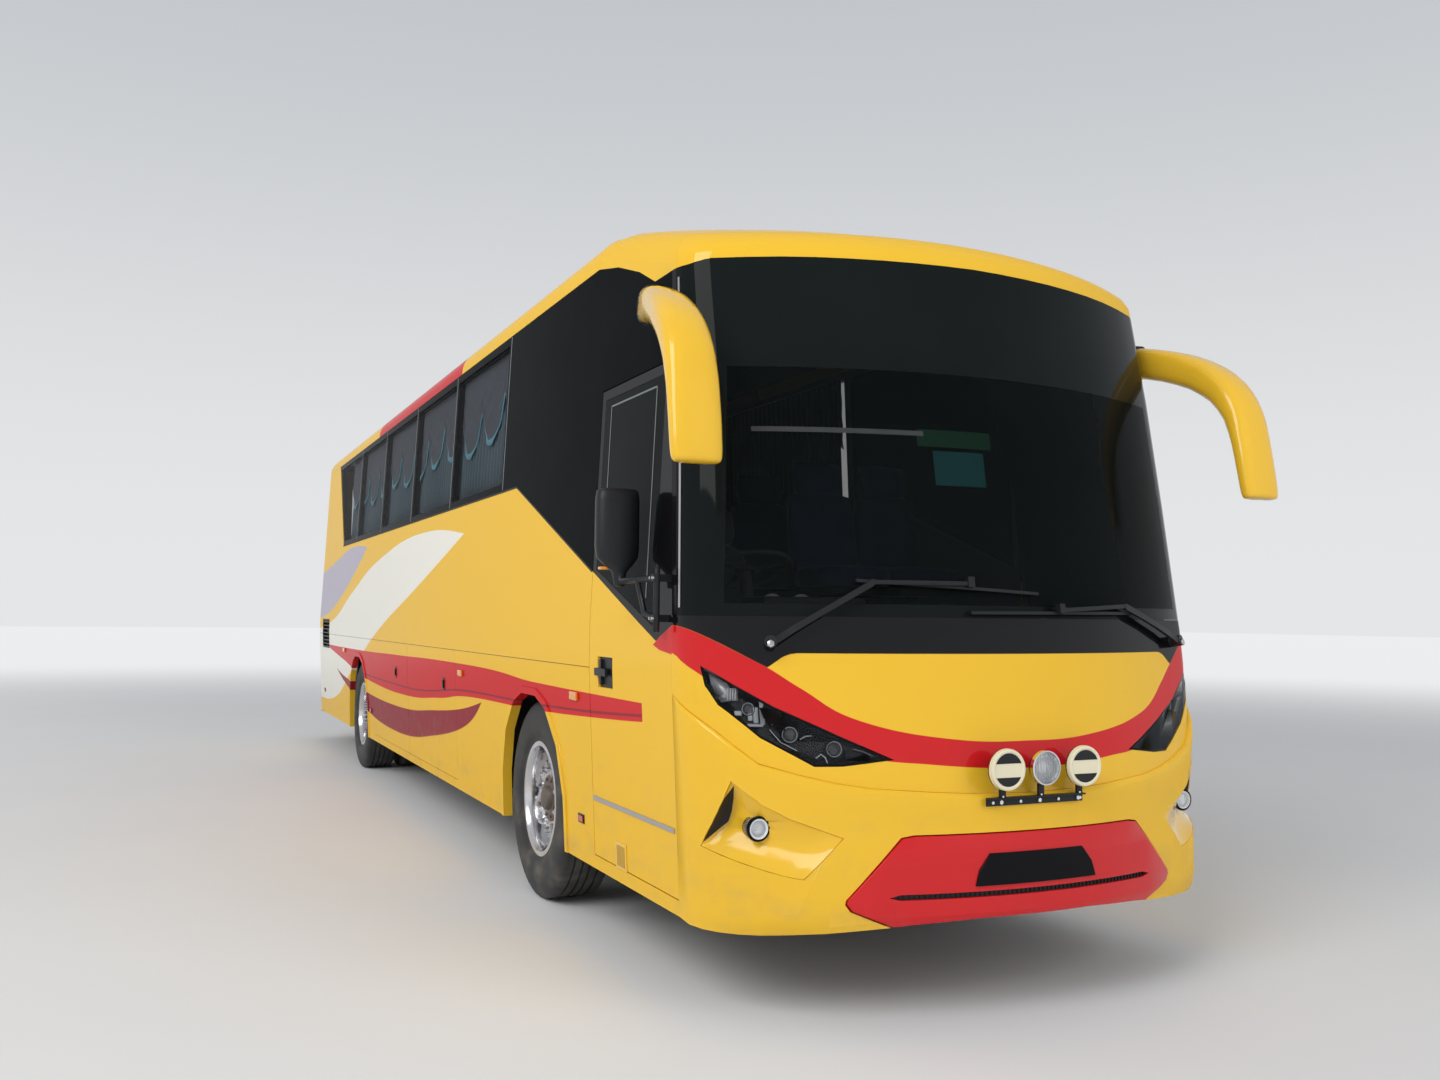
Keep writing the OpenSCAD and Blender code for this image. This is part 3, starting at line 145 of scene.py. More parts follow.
def side_at(side, x, z, inset=0.0):
    """Point of a side wall."""
    return Vector((x, side * (lookup(z, WIDTH_ROWS) - inset), z))


class CoachSizes(bpy.types.PropertyGroup):
    """Sizes that a user may change."""

    camera_lens: bpy.props.FloatProperty(
        name="Camera lens", description="Focal length in millimetres on a 36 mm sensor", default=31.14, unit="CAMERA")
    camera_place: bpy.props.FloatVectorProperty(
        name="Camera place", description="Where the camera stands", default=(9.793, -3.08, 1.486), unit="LENGTH",
        subtype="XYZ")
    camera_yaw: bpy.props.FloatProperty(
        name="Camera yaw", description="Turn of the camera's aim from the coach's rear towards its left",
        default=math.radians(24.46), unit="ROTATION")
    camera_pitch: bpy.props.FloatProperty(
        name="Camera pitch", description="Aim of the camera above the horizon", default=math.radians(3.52),
        unit="ROTATION")
    camera_roll: bpy.props.FloatProperty(
        name="Camera roll", description="Roll of the camera", default=math.radians(0.54), unit="ROTATION")


def colour_setting(name, description, value):
    return bpy.props.FloatVectorProperty(
        name=name, description=description, default=(*value, 1), size=4, subtype="COLOR")


class CoachColours(bpy.types.PropertyGroup):
    """Colours that a user may change."""

    yellow: colour_setting("Yellow paint", "Main body colour", (0.84, 0.50, 0.03))
    red: colour_setting("Red paint", "Colour of the swooshes", (0.60, 0.012, 0.015))
    maroon: colour_setting("Maroon paint", "Shaded edge of the side swoosh", (0.28, 0.01, 0.02))
    pale: colour_setting("Pale paint", "Pale ribbon on the sides", (0.82, 0.80, 0.72))
    lavender: colour_setting("Lavender paint", "Grey ribbon at the rear", (0.45, 0.42, 0.50))
    floor: colour_setting("Floor", "Colour of the plain floor", (0.80, 0.80, 0.80))
    swag: colour_setting("Swag edge", "Edge of the curtains' swags", (0.16, 0.55, 0.70))


# Node helpers


class Graph:
    """A material's or a group's node tree with short ways to add nodes."""

    def __init__(self, tree):
        self.tree = tree

    def add(self, kind, **settings):
        node = self.tree.nodes.new(kind)
        for key, value in settings.items():
            setattr(node, key, value)
        return node

    def plug(self, value, socket):
        if isinstance(value, bpy.types.NodeSocket):
            self.tree.links.new(value, socket)
        else:
            socket.default_value = value

    def math(self, operation, a, b=0.0, c=0.0, clamp=False):
        node = self.add("ShaderNodeMath", operation=operation, use_clamp=clamp)
        for value, socket in zip((a, b, c), node.inputs):
            self.plug(value, socket)
        return node.outputs[0]

    def ramp(self, value, start, end, low_value=0.0, high_value=1.0):
        """Smooth step from start to end."""
        node = self.add("ShaderNodeMapRange", interpolation_type="SMOOTHSTEP")
        for item, socket in zip((value, start, end, low_value, high_value), node.inputs):
            self.plug(item, socket)
        return node.outputs[0]

    def line(self, value, points, sharp=False):
        """Line through points (x, y), x rising; rounded between them unless sharp."""
        x0, x1 = points[0][0], points[-1][0]
        y0, y1 = min(p[1] for p in points), max(p[1] for p in points)
        spread = max(y1 - y0, 1e-6)
        scaled = self.math("DIVIDE", self.math("SUBTRACT", value, x0), x1 - x0, clamp=True)
        node = self.add("ShaderNodeFloatCurve")
        curve = node.mapping.curves[0]
        spots = [((x - x0) / (x1 - x0), (y - y0) / spread) for x, y in points]
        curve.points[0].location = spots[0]
        curve.points[1].location = spots[-1]
        for spot in spots[1:-1]:
            curve.points.new(*spot)
        if sharp:
            for point in curve.points:
                point.handle_type = "VECTOR"
        node.mapping.update()
        self.plug(scaled, node.inputs["Value"])
        return self.math("MULTIPLY_ADD", node.outputs[0], spread, y0)

    def mix(self, factor, a, b):
        node = self.add("ShaderNodeMix", data_type="RGBA")
        self.plug(factor, node.inputs[0])
        self.plug(a, node.inputs[6])
        self.plug(b, node.inputs[7])
        return node.outputs[2]

    def place(self):
        """Object coordinates split into x, y and z."""
        coords = self.add("ShaderNodeTexCoord").outputs["Object"]
        split = self.add("ShaderNodeSeparateXYZ")
        self.plug(coords, split.inputs[0])
        return coords, split.outputs[0], split.outputs[1], split.outputs[2]

    def noise(self, scale, detail=3.0, vector=None, stretch=None):
        if vector is None:
            vector = self.add("ShaderNodeTexCoord").outputs["Object"]
        if stretch is not None:
            mapping = self.add("ShaderNodeMapping")
            mapping.inputs["Scale"].default_value = stretch
            self.plug(vector, mapping.inputs["Vector"])
            vector = mapping.outputs[0]
        node = self.add("ShaderNodeTexNoise")
        self.plug(vector, node.inputs["Vector"])
        node.inputs["Scale"].default_value = scale
        node.inputs["Detail"].default_value = detail
        return node.outputs["Fac"]

    def bump(self, height, strength, distance):
        node = self.add("ShaderNodeBump")
        node.inputs["Strength"].default_value = strength
        node.inputs["Distance"].default_value = distance
        self.plug(height, node.inputs["Height"])
        return node.outputs[0]


def new_group(name, inputs, outputs):
    """Shader node group with the given float or colour sockets, and its graph, input and output nodes."""
    tree = bpy.data.node_groups.new(name, "ShaderNodeTree")
    for label, value in inputs.items():
        colour = isinstance(value, tuple)
        socket = tree.interface.new_socket(
            name=label, in_out="INPUT", socket_type="NodeSocketColor" if colour else "NodeSocketFloat")
        socket.default_value = value
    for label, kind in outputs.items():
        tree.interface.new_socket(name=label, in_out="OUTPUT", socket_type=kind)
    graph = Graph(tree)
    return graph, graph.add("NodeGroupInput").outputs, graph.add("NodeGroupOutput").inputs


def road_dust_group():
    """Dust that thins out with height, broken up by noise."""
    graph, given, out = new_group(
        "Road dust", {"Top": 0.9, "Amount": 0.5}, {"Mask": "NodeSocketFloat"})
    coords, _x, _y, z = graph.place()
    fade = graph.ramp(z, 0.2, given["Top"], 1.0, 0.0)
    fine = graph.noise(9.0, 6.0, coords)
    streak = graph.noise(2.2, 4.0, coords, (1.0, 1.0, 5.0))
    spread = graph.math("MULTIPLY", graph.ramp(fine, 0.35, 0.75), graph.ramp(streak, 0.3, 0.7))
    mask = graph.math("MULTIPLY", graph.math("MULTIPLY", fade, spread), given["Amount"], clamp=True)
    graph.plug(mask, out["Mask"])
    return graph.tree


def fine_grain_group():
    """Fine moulded grain as a normal."""
    graph, given, out = new_group(
        "Fine grain", {"Scale": 900.0, "Depth": 0.0002}, {"Normal": "NodeSocketVector"})
    coords = graph.add("ShaderNodeTexCoord").outputs["Object"]
    cells = graph.add("ShaderNodeTexVoronoi")
    graph.plug(coords, cells.inputs["Vector"])
    graph.plug(given["Scale"], cells.inputs["Scale"])
    bump = graph.add("ShaderNodeBump")
    bump.inputs["Strength"].default_value = 0.4
    graph.plug(given["Depth"], bump.inputs["Distance"])
    graph.plug(cells.outputs["Distance"], bump.inputs["Height"])
    graph.plug(bump.outputs[0], out["Normal"])
    return graph.tree


def livery_group(colours):
    """Body colours by place: yellow, the red swoosh round the front and the ribbons on the sides."""
    graph, given, out = new_group(
        "Coach livery",
        {"Yellow": tuple(colours.yellow), "Red": tuple(colours.red), "Maroon": tuple(colours.maroon),
         "Pale": tuple(colours.pale), "Lavender": tuple(colours.lavender), "Black": BAND_BLACK},
        {"Color": "NodeSocketColor"})
    _coords, x, y, z = graph.place()
    side = graph.math("ABSOLUTE", y)
    soft = 0.0015

    def above(value, edge):
        gap = graph.math("SUBTRACT", value, edge)
        return graph.ramp(gap, -soft, soft)

    def band(value, lower, upper):
        return graph.math("MULTIPLY", above(value, lower), graph.math("SUBTRACT", 1.0, above(value, upper)))

    # Ribbons on the sides, as heights along x
    pale = band(z, graph.line(x, [(-5.8, 0.50), (-4.6, 0.55), (-3.2, 0.90), (-1.6, 1.32), (0.2, 1.70), (1.7, 2.03)]),
                graph.line(x, [(-5.8, 1.30), (-4.6, 1.40), (-3.2, 1.70), (-1.6, 1.98), (0.2, 2.10), (1.7, 2.01)]))
    grey = band(z, graph.line(x, [(-5.8, 1.42), (-5.0, 1.48), (-4.2, 1.62), (-3.4, 1.82), (-2.4, 2.14)]),
                graph.line(x, [(-5.8, 1.95), (-5.0, 2.02), (-4.2, 2.10), (-3.4, 2.16), (-2.4, 2.11)]))
    red_side = band(z, graph.line(x, [(-5.3, 1.145), (-3.7, 1.00), (-1.8, 0.86), (-0.5, 0.84), (1.0, 0.90),
                                      (1.95, 0.965), (3.4, 0.99), (4.6, 1.033), (5.0, 1.053)]),
                    graph.line(x, [(-5.3, 1.135), (-3.7, 1.13), (-0.5, 1.15), (1.95, 1.166), (3.4, 1.135),
                                   (4.6, 1.13), (5.0, 1.13)]))
    shade = band(z, graph.line(x, [(-4.6, 0.99), (-2.8, 0.66), (-0.8, 0.52), (0.8, 0.62), (2.3, 0.98)]),
                 graph.line(x, [(-4.6, 0.975), (-2.8, 0.78), (-0.8, 0.73), (0.8, 0.80), (2.3, 0.96)]))
    crease_z = graph.line(x, [(-5.3, 1.12), (-0.5, 0.90), (1.95, 0.995), (3.4, 1.015), (5.0, 1.072)])
    crease = graph.math("MULTIPLY", red_side, band(z, crease_z, graph.math("ADD", crease_z, 0.012)))
    limit = graph.math("LESS_THAN", x, 5.0)
    colour = given["Yellow"]
    for mask, paint in ((pale, "Pale"), (grey, "Lavender"), (shade, "Maroon"), (red_side, "Red"), (crease, "Maroon")):
        colour = graph.mix(graph.math("MULTIPLY", mask, limit), colour, given[paint])
    cove = graph.math("MULTIPLY", graph.math("GREATER_THAN", z, 3.135), graph.math("GREATER_THAN", side, 0.95))
    cove = graph.math("MULTIPLY", cove, graph.math("MULTIPLY", above(x, -2.2), graph.math("LESS_THAN", x, 1.25)))
    colour = graph.mix(cove, colour, given["Red"])
    # Front: the swoosh between two edges, black above it and the yellow panel in the middle
    ahead = graph.math("GREATER_THAN", x, 5.326)
    tip = band(z, graph.line(x, [(5.0, 1.46), (5.127, 1.372), (5.2, 1.352), (5.33, 1.338)], sharp=True),
               graph.line(x, [(5.0, 1.30), (5.127, 1.370), (5.2, 1.403), (5.33, 1.452)], sharp=True))
    tip = graph.math("MULTIPLY", tip, graph.math("LESS_THAN", x, 5.33))
    swoosh_low = graph.line(side, [(0.0, 0.920), (0.2, 0.926), (0.44, 0.945), (0.62, 0.965), (0.82, 1.045),
                                   (1.0, 1.14), (1.216, 1.285), (1.25, 1.345)])
    swoosh_high = graph.line(side, [(0.0, 1.022), (0.3, 1.032), (0.676, 1.105), (0.88, 1.225), (0.985, 1.298),
                                    (1.075, 1.350), (1.165, 1.402), (1.25, 1.452)])
    front = graph.math("MULTIPLY", band(z, swoosh_low, swoosh_high), ahead)
    top_line = graph.line(side, [(0.0, 1.352), (0.88, 1.352), (0.905, 1.348), (0.93, 1.338), (0.985, 1.298),
                                 (1.075, 1.350), (1.165, 1.402), (1.25, 1.452)], sharp=True)
    black = graph.math("MULTIPLY", graph.math("MULTIPLY", above(z, top_line), ahead),
                       graph.math("LESS_THAN", z, 1.6))
    colour = graph.mix(graph.math("MAXIMUM", front, tip), colour, given["Red"])
    colour = graph.mix(black, colour, given["Black"])
    # Dark line where the flaps hang, from the tail to the doors
    line = graph.math("MULTIPLY", band(z, 1.2475, 1.2515), graph.math("LESS_THAN", x, 4.335))
    line = graph.math("MULTIPLY", line, graph.math("GREATER_THAN", side, 1.15))
    colour = graph.mix(graph.math("MULTIPLY", line, 0.8), colour, given["Black"])
    graph.plug(colour, out["Color"])
    return graph.tree


GROUPS = {}


def use_group(graph, name, **values):
    node = graph.add("ShaderNodeGroup")
    node.node_tree = GROUPS[name]
    for label, value in values.items():
        graph.plug(value, node.inputs[label])
    return node.outputs


def new_material(name):
    material = bpy.data.materials.new(name)
    material.use_nodes = True
    material.node_tree.nodes.clear()
    graph = Graph(material.node_tree)
    shader = graph.add("ShaderNodeBsdfPrincipled")
    output = graph.add("ShaderNodeOutputMaterial")
    graph.plug(shader.outputs[0], output.inputs["Surface"])
    return material, graph, shader.inputs


def body_paint(name, glass_band):
    """Paint in the livery; with glass_band it is black behind the side glass and round the door windows."""
    material, graph, shader = new_material(name)
    colour = use_group(graph, "Coach livery")["Color"]
    if glass_band:
        _coords, x, _y, z = graph.place()
        fall = graph.math("MULTIPLY_ADD", graph.math("MAXIMUM", graph.math("SUBTRACT", x, DIAGONAL_X), 0.0),
                          DIAGONAL_SLOPE, WINDOW_Z)
        swoosh = graph.line(x, [(5.08, 1.0), (5.127, 1.370), (5.2, 1.403), (5.33, 1.452)], sharp=True)
        high_up = graph.math("GREATER_THAN", z, graph.math("MAXIMUM", fall, swoosh))
        rear = graph.math("MULTIPLY_ADD", graph.math("SUBTRACT", z, WINDOW_Z), -0.79, FRONT_AXLE - 7.45)
        mask = graph.math("MULTIPLY", high_up, graph.math("GREATER_THAN", x, rear))
        mask = graph.math("MULTIPLY", mask, graph.math("LESS_THAN", z, 3.146))
        colour = graph.mix(mask, colour, BAND_BLACK)
    dust = use_group(graph, "Road dust", Top=1.1, Amount=0.3)["Mask"]
    graph.plug(graph.mix(dust, colour, (0.35, 0.28, 0.18, 1)), shader["Base Color"])
    graph.plug(graph.math("MULTIPLY_ADD", dust, 0.5, 0.20), shader["Roughness"])
    glancing = graph.add("ShaderNodeLayerWeight").outputs["Facing"]
    coat = graph.ramp(glancing, 0.45, 0.85, 0.6, 0.04)
    graph.plug(graph.math("MULTIPLY", coat, graph.math("SUBTRACT", 1.0, dust)), shader["Coat Weight"])
    shader["Coat Roughness"].default_value = 0.04
    shader["Specular IOR Level"].default_value = 0.01
    ripple = graph.noise(2.0, 2.0)
    graph.plug(graph.bump(ripple, 0.15, 0.004), shader["Normal"])
    return material


def plain_finish(name, colour, roughness, metallic=0.0, coat=0.0, grain=None, dust=None, tint=0.12, gloss=0.5):
    """A painted, moulded or metal finish with some change of tone, grain and dust."""
    material, graph, shader = new_material(name)
    tone = graph.noise(6.0, 5.0)
    darker = tuple(c * (1 - tint) for c in colour[:3]) + (1,)
    lighter = tuple(min(1, c * (1 + tint)) for c in colour[:3]) + (1,)
    base = graph.mix(tone, darker, lighter)
    rough = graph.math("MULTIPLY_ADD", tone, 0.12, roughness - 0.06)
    if dust:
        mask = use_group(graph, "Road dust", Top=dust[0], Amount=dust[1])["Mask"]
        base = graph.mix(mask, base, (0.30, 0.26, 0.20, 1))
        rough = graph.math("MULTIPLY_ADD", mask, 0.3, rough, clamp=True)
    graph.plug(base, shader["Base Color"])
    graph.plug(rough, shader["Roughness"])
    shader["Metallic"].default_value = metallic
    shader["Coat Weight"].default_value = coat
    shader["Coat IOR"].default_value = 1.3
    shader["Specular IOR Level"].default_value = gloss
    if grain:
        graph.plug(use_group(graph, "Fine grain", Scale=grain[0], Depth=grain[1])["Normal"], shader["Normal"])
    return material


def tinted_glass(name, colour, clear, band=None, gloss=0.15, tint=None):
    """Glass whose see-through share falls off at a glancing angle; band is an opaque part of the pane."""
    material, graph, shader = new_material(name)
    facing = graph.add("ShaderNodeFresnel")
    facing.inputs["IOR"].default_value = 1.5
    alpha = graph.math("MULTIPLY_ADD", facing.outputs[0], clear if tint is None else 0.25,
                       1.0 - clear if tint is None else tint, clamp=True)
    if band:
        _coords, x, y, z = graph.place()
        alpha = graph.math("MAXIMUM", alpha, band(graph, x, y, z))
    smear = graph.noise(1.6, 4.0)
    graph.plug(graph.mix(smear, colour, tuple(min(1, c * 1.6 + 0.004) for c in colour[:3]) + (1,)),
               shader["Base Color"])
    graph.plug(graph.math("MULTIPLY_ADD", smear, 0.04, 0.02), shader["Roughness"])
    graph.plug(alpha, shader["Alpha"])
    shader["IOR"].default_value = 1.5
    shader["Specular IOR Level"].default_value = gloss
    return material


def swag_cloth(edge_colour):
    """Crushed dark cloth; its own attribute holds the distance from its scalloped edge."""
    material, graph, shader = new_material("swag cloth")
    edge = graph.add("ShaderNodeAttribute", attribute_name="edge_distance").outputs["Fac"]
    fold = graph.noise(26.0, 5.0, None, (1.0, 1.0, 2.2))
    dark = graph.mix(fold, (0.030, 0.042, 0.065, 1), (0.085, 0.105, 0.150, 1))
    trim = graph.math("LESS_THAN", edge, 0.5)
    graph.plug(graph.mix(trim, dark, edge_colour), shader["Base Color"])
    graph.plug(graph.math("MULTIPLY_ADD", fold, 0.2, 0.7), shader["Roughness"])
    graph.plug(graph.bump(fold, 0.6, 0.01), shader["Normal"])
    shader["Sheen Weight"].default_value = 0.3
    return material


def woven_cloth(name, colour, second, stripe=0.0):
    """Woven upholstery with a fine weave, and a second tone in blotches or stripes."""
    material, graph, shader = new_material(name)
    coords, x, y, z = graph.place()
    warp = graph.math("SINE", graph.math("MULTIPLY", y, 2400.0))
    weft = graph.math("SINE", graph.math("MULTIPLY", graph.math("ADD", x, z), 2400.0))
    weave = graph.math("MULTIPLY", warp, weft)
    tone = graph.noise(14.0, 4.0, coords)
    if stripe:
        tone = graph.ramp(graph.math("SINE", graph.math("MULTIPLY", y, math.tau / stripe)), -0.2, 0.4)
    graph.plug(graph.mix(tone, colour, second), shader["Base Color"])
    graph.plug(graph.math("MULTIPLY_ADD", tone, 0.1, 0.8), shader["Roughness"])
    graph.plug(graph.bump(weave, 0.3, 0.0006), shader["Normal"])
    shader["Sheen Weight"].default_value = 0.4
    return material


def screen_band(graph, _x, y, z):
    """The windscreen's printed black edge."""
    side = graph.math("ABSOLUTE", y)
    top = graph.ramp(z, 2.46, 2.47)
    foot = graph.ramp(z, 1.545, 1.535)
    edge = graph.ramp(side, graph.math("MULTIPLY_ADD", z, -0.06, 1.20), graph.math("MULTIPLY_ADD", z, -0.06, 1.21))
    return graph.math("MAXIMUM", top, graph.math("MAXIMUM", foot, edge))


def side_band(graph, x, _y, z):
    """Opaque parts of the side glass: its edges and the bays ahead of the curtains."""
    front = graph.ramp(x, 2.52, 2.56)
    top = graph.ramp(z, 3.09, 3.10)
    foot = graph.ramp(z, 2.262, 2.252)
    return graph.math("MAXIMUM", front, graph.math("MAXIMUM", top, foot))


def smoked_part(graph, _x, y, _z):
    """The inboard part of a headlamp's cover is a little darker."""
    return graph.ramp(graph.math("ABSOLUTE", y), 0.98, 0.86, 0.0, 0.16)


MATERIALS = {}


def make_materials(colours):
    GROUPS["Road dust"] = road_dust_group()
    GROUPS["Fine grain"] = fine_grain_group()
    GROUPS["Coach livery"] = livery_group(colours)
    made = MATERIALS
    made["paint"] = body_paint("body paint", False)
    made["side paint"] = body_paint("side paint", True)
    made["seat cloth"] = woven_cloth("seat cloth", (0.02, 0.04, 0.13, 1), (0.05, 0.10, 0.24, 1))
    made["driver cloth"] = woven_cloth("driver cloth", (0.03, 0.03, 0.035, 1), (0.07, 0.07, 0.08, 1))
    made["curtain cloth"] = woven_cloth("curtain cloth", (0.045, 0.080, 0.110, 1), (0.085, 0.140, 0.175, 1), 0.31)
    made["swag cloth"] = swag_cloth(tuple(colours.swag))
    made["windscreen"] = tinted_glass("windscreen glass", (0.004, 0.006, 0.006, 1), 0.66, screen_band, 0.07)
    made["side glass"] = tinted_glass("side glass", (0.003, 0.004, 0.005, 1), 0.72, side_band, 0.003, 0.10)
    made["door glass"] = tinted_glass("door glass", (0.004, 0.006, 0.006, 1), 0.25, None, 0.02)
    made["lamp cover"] = tinted_glass("lamp cover", (0.03, 0.035, 0.04, 1), 0.95, smoked_part, 0.3)
    made["lens glass"] = tinted_glass("lens glass", (0.75, 0.78, 0.80, 1), 0.93, None, 0.4)
    for key, name, colour, roughness, settings in (
            ("yellow paint", "yellow paint", tuple(colours.yellow), 0.20,
             dict(coat=0.7, dust=(1.1, 0.2), tint=0.03, gloss=0.3)),
            ("cabin lining", "cabin lining", (0.14, 0.14, 0.15), 0.8, dict(grain=(500.0, 0.0004))),
            ("black gloss", "black gloss", (0.005, 0.005, 0.006), 0.10, dict(gloss=0.10)),
            ("insert red", "insert red", tuple(colours.red), 0.25,
             dict(coat=0.6, dust=(0.5, 0.2), tint=0.04, gloss=0.25)),
            ("chassis", "chassis paint", (0.03, 0.03, 0.032), 0.6, dict(dust=(1.0, 0.8))),
            ("rubber", "black rubber", (0.012, 0.012, 0.013), 0.7, dict(grain=(700.0, 0.0003))),
            ("tyre", "tyre rubber", (0.020, 0.021, 0.022), 0.62, dict(grain=(350.0, 0.0005), dust=(1.1, 0.35))),
            ("polished rim", "polished rim", (0.72, 0.72, 0.74), 0.18,
             dict(metallic=1.0, dust=(1.3, 0.35), tint=0.05)),
            ("chrome", "chrome", (0.82, 0.83, 0.85), 0.09, dict(metallic=1.0, tint=0.03)),
            ("steel", "bright steel", (0.55, 0.55, 0.57), 0.3, dict(metallic=1.0, tint=0.05)),
            ("hub iron", "hub iron", (0.16, 0.13, 0.11), 0.55, dict(metallic=0.6, dust=(1.3, 0.5))),
            ("engine", "cast engine", (0.10, 0.10, 0.105), 0.55, dict(metallic=0.4, grain=(200.0, 0.001))),
            ("floor grey", "floor vinyl", (0.10, 0.105, 0.115), 0.6, dict(grain=(400.0, 0.0003))),
            ("grey plastic", "grey plastic", (0.06, 0.06, 0.065), 0.55, dict(grain=(900.0, 0.0003))),
            ("trim plastic", "black trim", (0.010, 0.011, 0.013), 0.42, dict(grain=(900.0, 0.0002), gloss=0.35)),
            ("frame line", "frame line", (0.16, 0.17, 0.18), 0.35, dict(metallic=0.4)),
            ("cream", "cream cover", (0.78, 0.72, 0.52), 0.32, dict(coat=0.3, tint=0.05)),
            ("lamp bowl", "lamp bowl", (0.03, 0.03, 0.034), 0.2, dict(metallic=0.6, coat=0.6)),
            ("lamp silver", "lamp silver", (0.86, 0.89, 0.93), 0.35, dict(metallic=0.35, tint=0.03)),
            # Darker amber: painted shade for the inside of the door foot hold
            ("recess shade", "recess shade", (0.50, 0.29, 0.02), 0.5, dict()),
            ("white plastic", "white plastic", (0.80, 0.81, 0.82), 0.4, dict(tint=0.03)),
            ("paper", "paper", (0.78, 0.80, 0.82), 0.7, dict(tint=0.04)),
            ("green card", "green card", (0.02, 0.20, 0.10), 0.5, dict(tint=0.08)),
            ("teal card", "teal card", (0.03, 0.32, 0.34), 0.5, dict(tint=0.08)),
            ("red lens", "red lens", (0.45, 0.01, 0.015), 0.12, dict(coat=1.0)),
            ("amber lens", "amber lens", (0.80, 0.30, 0.02), 0.12, dict(coat=1.0)),
            ("mirror glass", "mirror glass", (0.75, 0.77, 0.80), 0.03, dict(metallic=1.0, tint=0.02))):
        made[key] = plain_finish(name, colour, roughness, **settings)


# Piece helpers


def finish_mesh(mesh, angle=30):
    mesh.shade_smooth()
    mesh.set_sharp_from_angle(angle=math.radians(angle))


def piece(name, shape, body, materials, angle=30, replaces=()):
    """Makes a mesh object from a bmesh and rides it on a body."""
    mesh = bpy.data.meshes.new(name)
    shape.to_mesh(mesh)
    shape.free()
    made = bpy.data.objects.new(name, mesh)
    bpy.context.scene.collection.objects.link(made)
    for material in (materials,) if isinstance(materials, str) else materials:
        mesh.materials.append(MATERIALS[material])
    finish_mesh(mesh, angle)
    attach(made, body)
    if replaces:
        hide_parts(*replaces)
    return made


def rounded(made, width, angle=40, segments=2):
    edge = made.modifiers.new("rounded edges", "BEVEL")
    edge.width = width
    edge.segments = segments
    edge.limit_method = "ANGLE"
    edge.angle_limit = math.radians(angle)
    return made


def walled(made, thickness):
    wall = made.modifiers.new("wall", "SOLIDIFY")
    wall.thickness = thickness
    wall.offset = -1
    return made


def rounder(made, levels):
    smooth = made.modifiers.new("rounding", "SUBSURF")
    smooth.levels = smooth.render_levels = levels
    return made


def node_shape(node, keep=None, flat=0.4):
    """Merged copy of a CAD node's mesh; keep tells which faces stay."""
    shape = bmesh.new()
    shape.from_mesh(NODES[node].data)
    bmesh.ops.remove_doubles(shape, verts=shape.verts, dist=0.00002)
    if flat:
        bmesh.ops.dissolve_limit(shape, angle_limit=math.radians(flat), verts=shape.verts, edges=shape.edges)
    if keep:
        gone = [face for face in shape.faces if not keep(face)]
        bmesh.ops.delete(shape, geom=gone, context="FACES")
    return shape


def mark(shape, index, test):
    """Gives the faces that pass the test a material index."""
    for face in shape.faces:
        if test(face.calc_center_median(), face.normal):
            face.material_index = index


def dressed_copy(node, materials, angle=30, marks=None, name=None, bevel=0.0):
    """A merged, smooth copy of a CAD node that stands for it."""
    shape = node_shape(node)
    if marks:
        mark(shape, 1, marks)
    made = piece(name or node + "_skin", shape, BODY_OF[node], materials, angle, replaces=(node,))
    return rounded(made, bevel) if bevel else made


def even_shading(made):
    """Normals of a side panel's outer faces, from the wall's own curve."""
    mesh = made.data
    normals = [Vector(corner.vector) for corner in mesh.corner_normals]
    for face in mesh.polygons:
        side = math.copysign(1, face.center.y)
        for corner in face.loop_indices:
            z = mesh.vertices[mesh.loops[corner].vertex_index].co.z
            tilt = lookup(z, ((0.34, -0.0495), (1.25, -0.0247), (1.45, 0.0228), (3.16, 0.0456)))
            even = Vector((0, side, tilt)).normalized()
            if face.normal.dot(even) > 0.995:
                normals[corner] = even
    mesh.normals_split_custom_set(normals)
    return made


def repaint(node, material):
    NODES[node].data.materials.clear()
    NODES[node].data.materials.append(MATERIALS[material])


def place_matrix(point, direction=(0, 0, 1), turn=0.0):
    """Matrix that puts a shape's z axis along direction at point."""
    aim = Vector(direction).to_track_quat("Z", "Y").to_matrix().to_4x4()
    return Matrix.Translation(point) @ aim @ Matrix.Rotation(turn, 4, "Z")


def linked(verts, kind):
    """The edges or faces at some vertices, each once and in order."""
    return list(dict.fromkeys(item for vert in verts for item in getattr(vert, kind)))


def add_disc(shape, radius, depth, point, direction, segments=32, end_radius=None, bevel=0.0):
    """Closed round bar or cone from point along direction."""
    at = place_matrix(point, direction) @ Matrix.Translation((0, 0, depth / 2))
    made = bmesh.ops.create_cone(
        shape, cap_ends=True, segments=segments, radius1=radius,
        radius2=radius if end_radius is None else end_radius, depth=depth, matrix=at)
    if bevel:
        rims = [edge for edge in linked(made["verts"], "link_edges") if edge.calc_face_angle(0) > math.radians(50)]
        bmesh.ops.bevel(shape, geom=rims, offset=bevel, segments=2, affect="EDGES", profile=0.5, material=-1)


def add_bar(shape, start, end, radius, segments=16):
    add_disc(shape, radius, (Vector(end) - Vector(start)).length, start, Vector(end) - Vector(start), segments)


def add_block(shape, lo, hi, bevel=0.0, at=None):
    """Block between two corners, with rounded edges; at turns and moves it."""
    size = Vector(hi) - Vector(lo)
    place = Matrix.Translation((Vector(hi) + Vector(lo)) / 2) @ Matrix.Diagonal((*size, 1))
    made = bmesh.ops.create_cube(shape, size=1, matrix=(at or Matrix()) @ place)
    if bevel:
        bmesh.ops.bevel(shape, geom=linked(made["verts"], "link_edges"), offset=bevel, segments=2, affect="EDGES",
                        profile=0.5, material=-1)


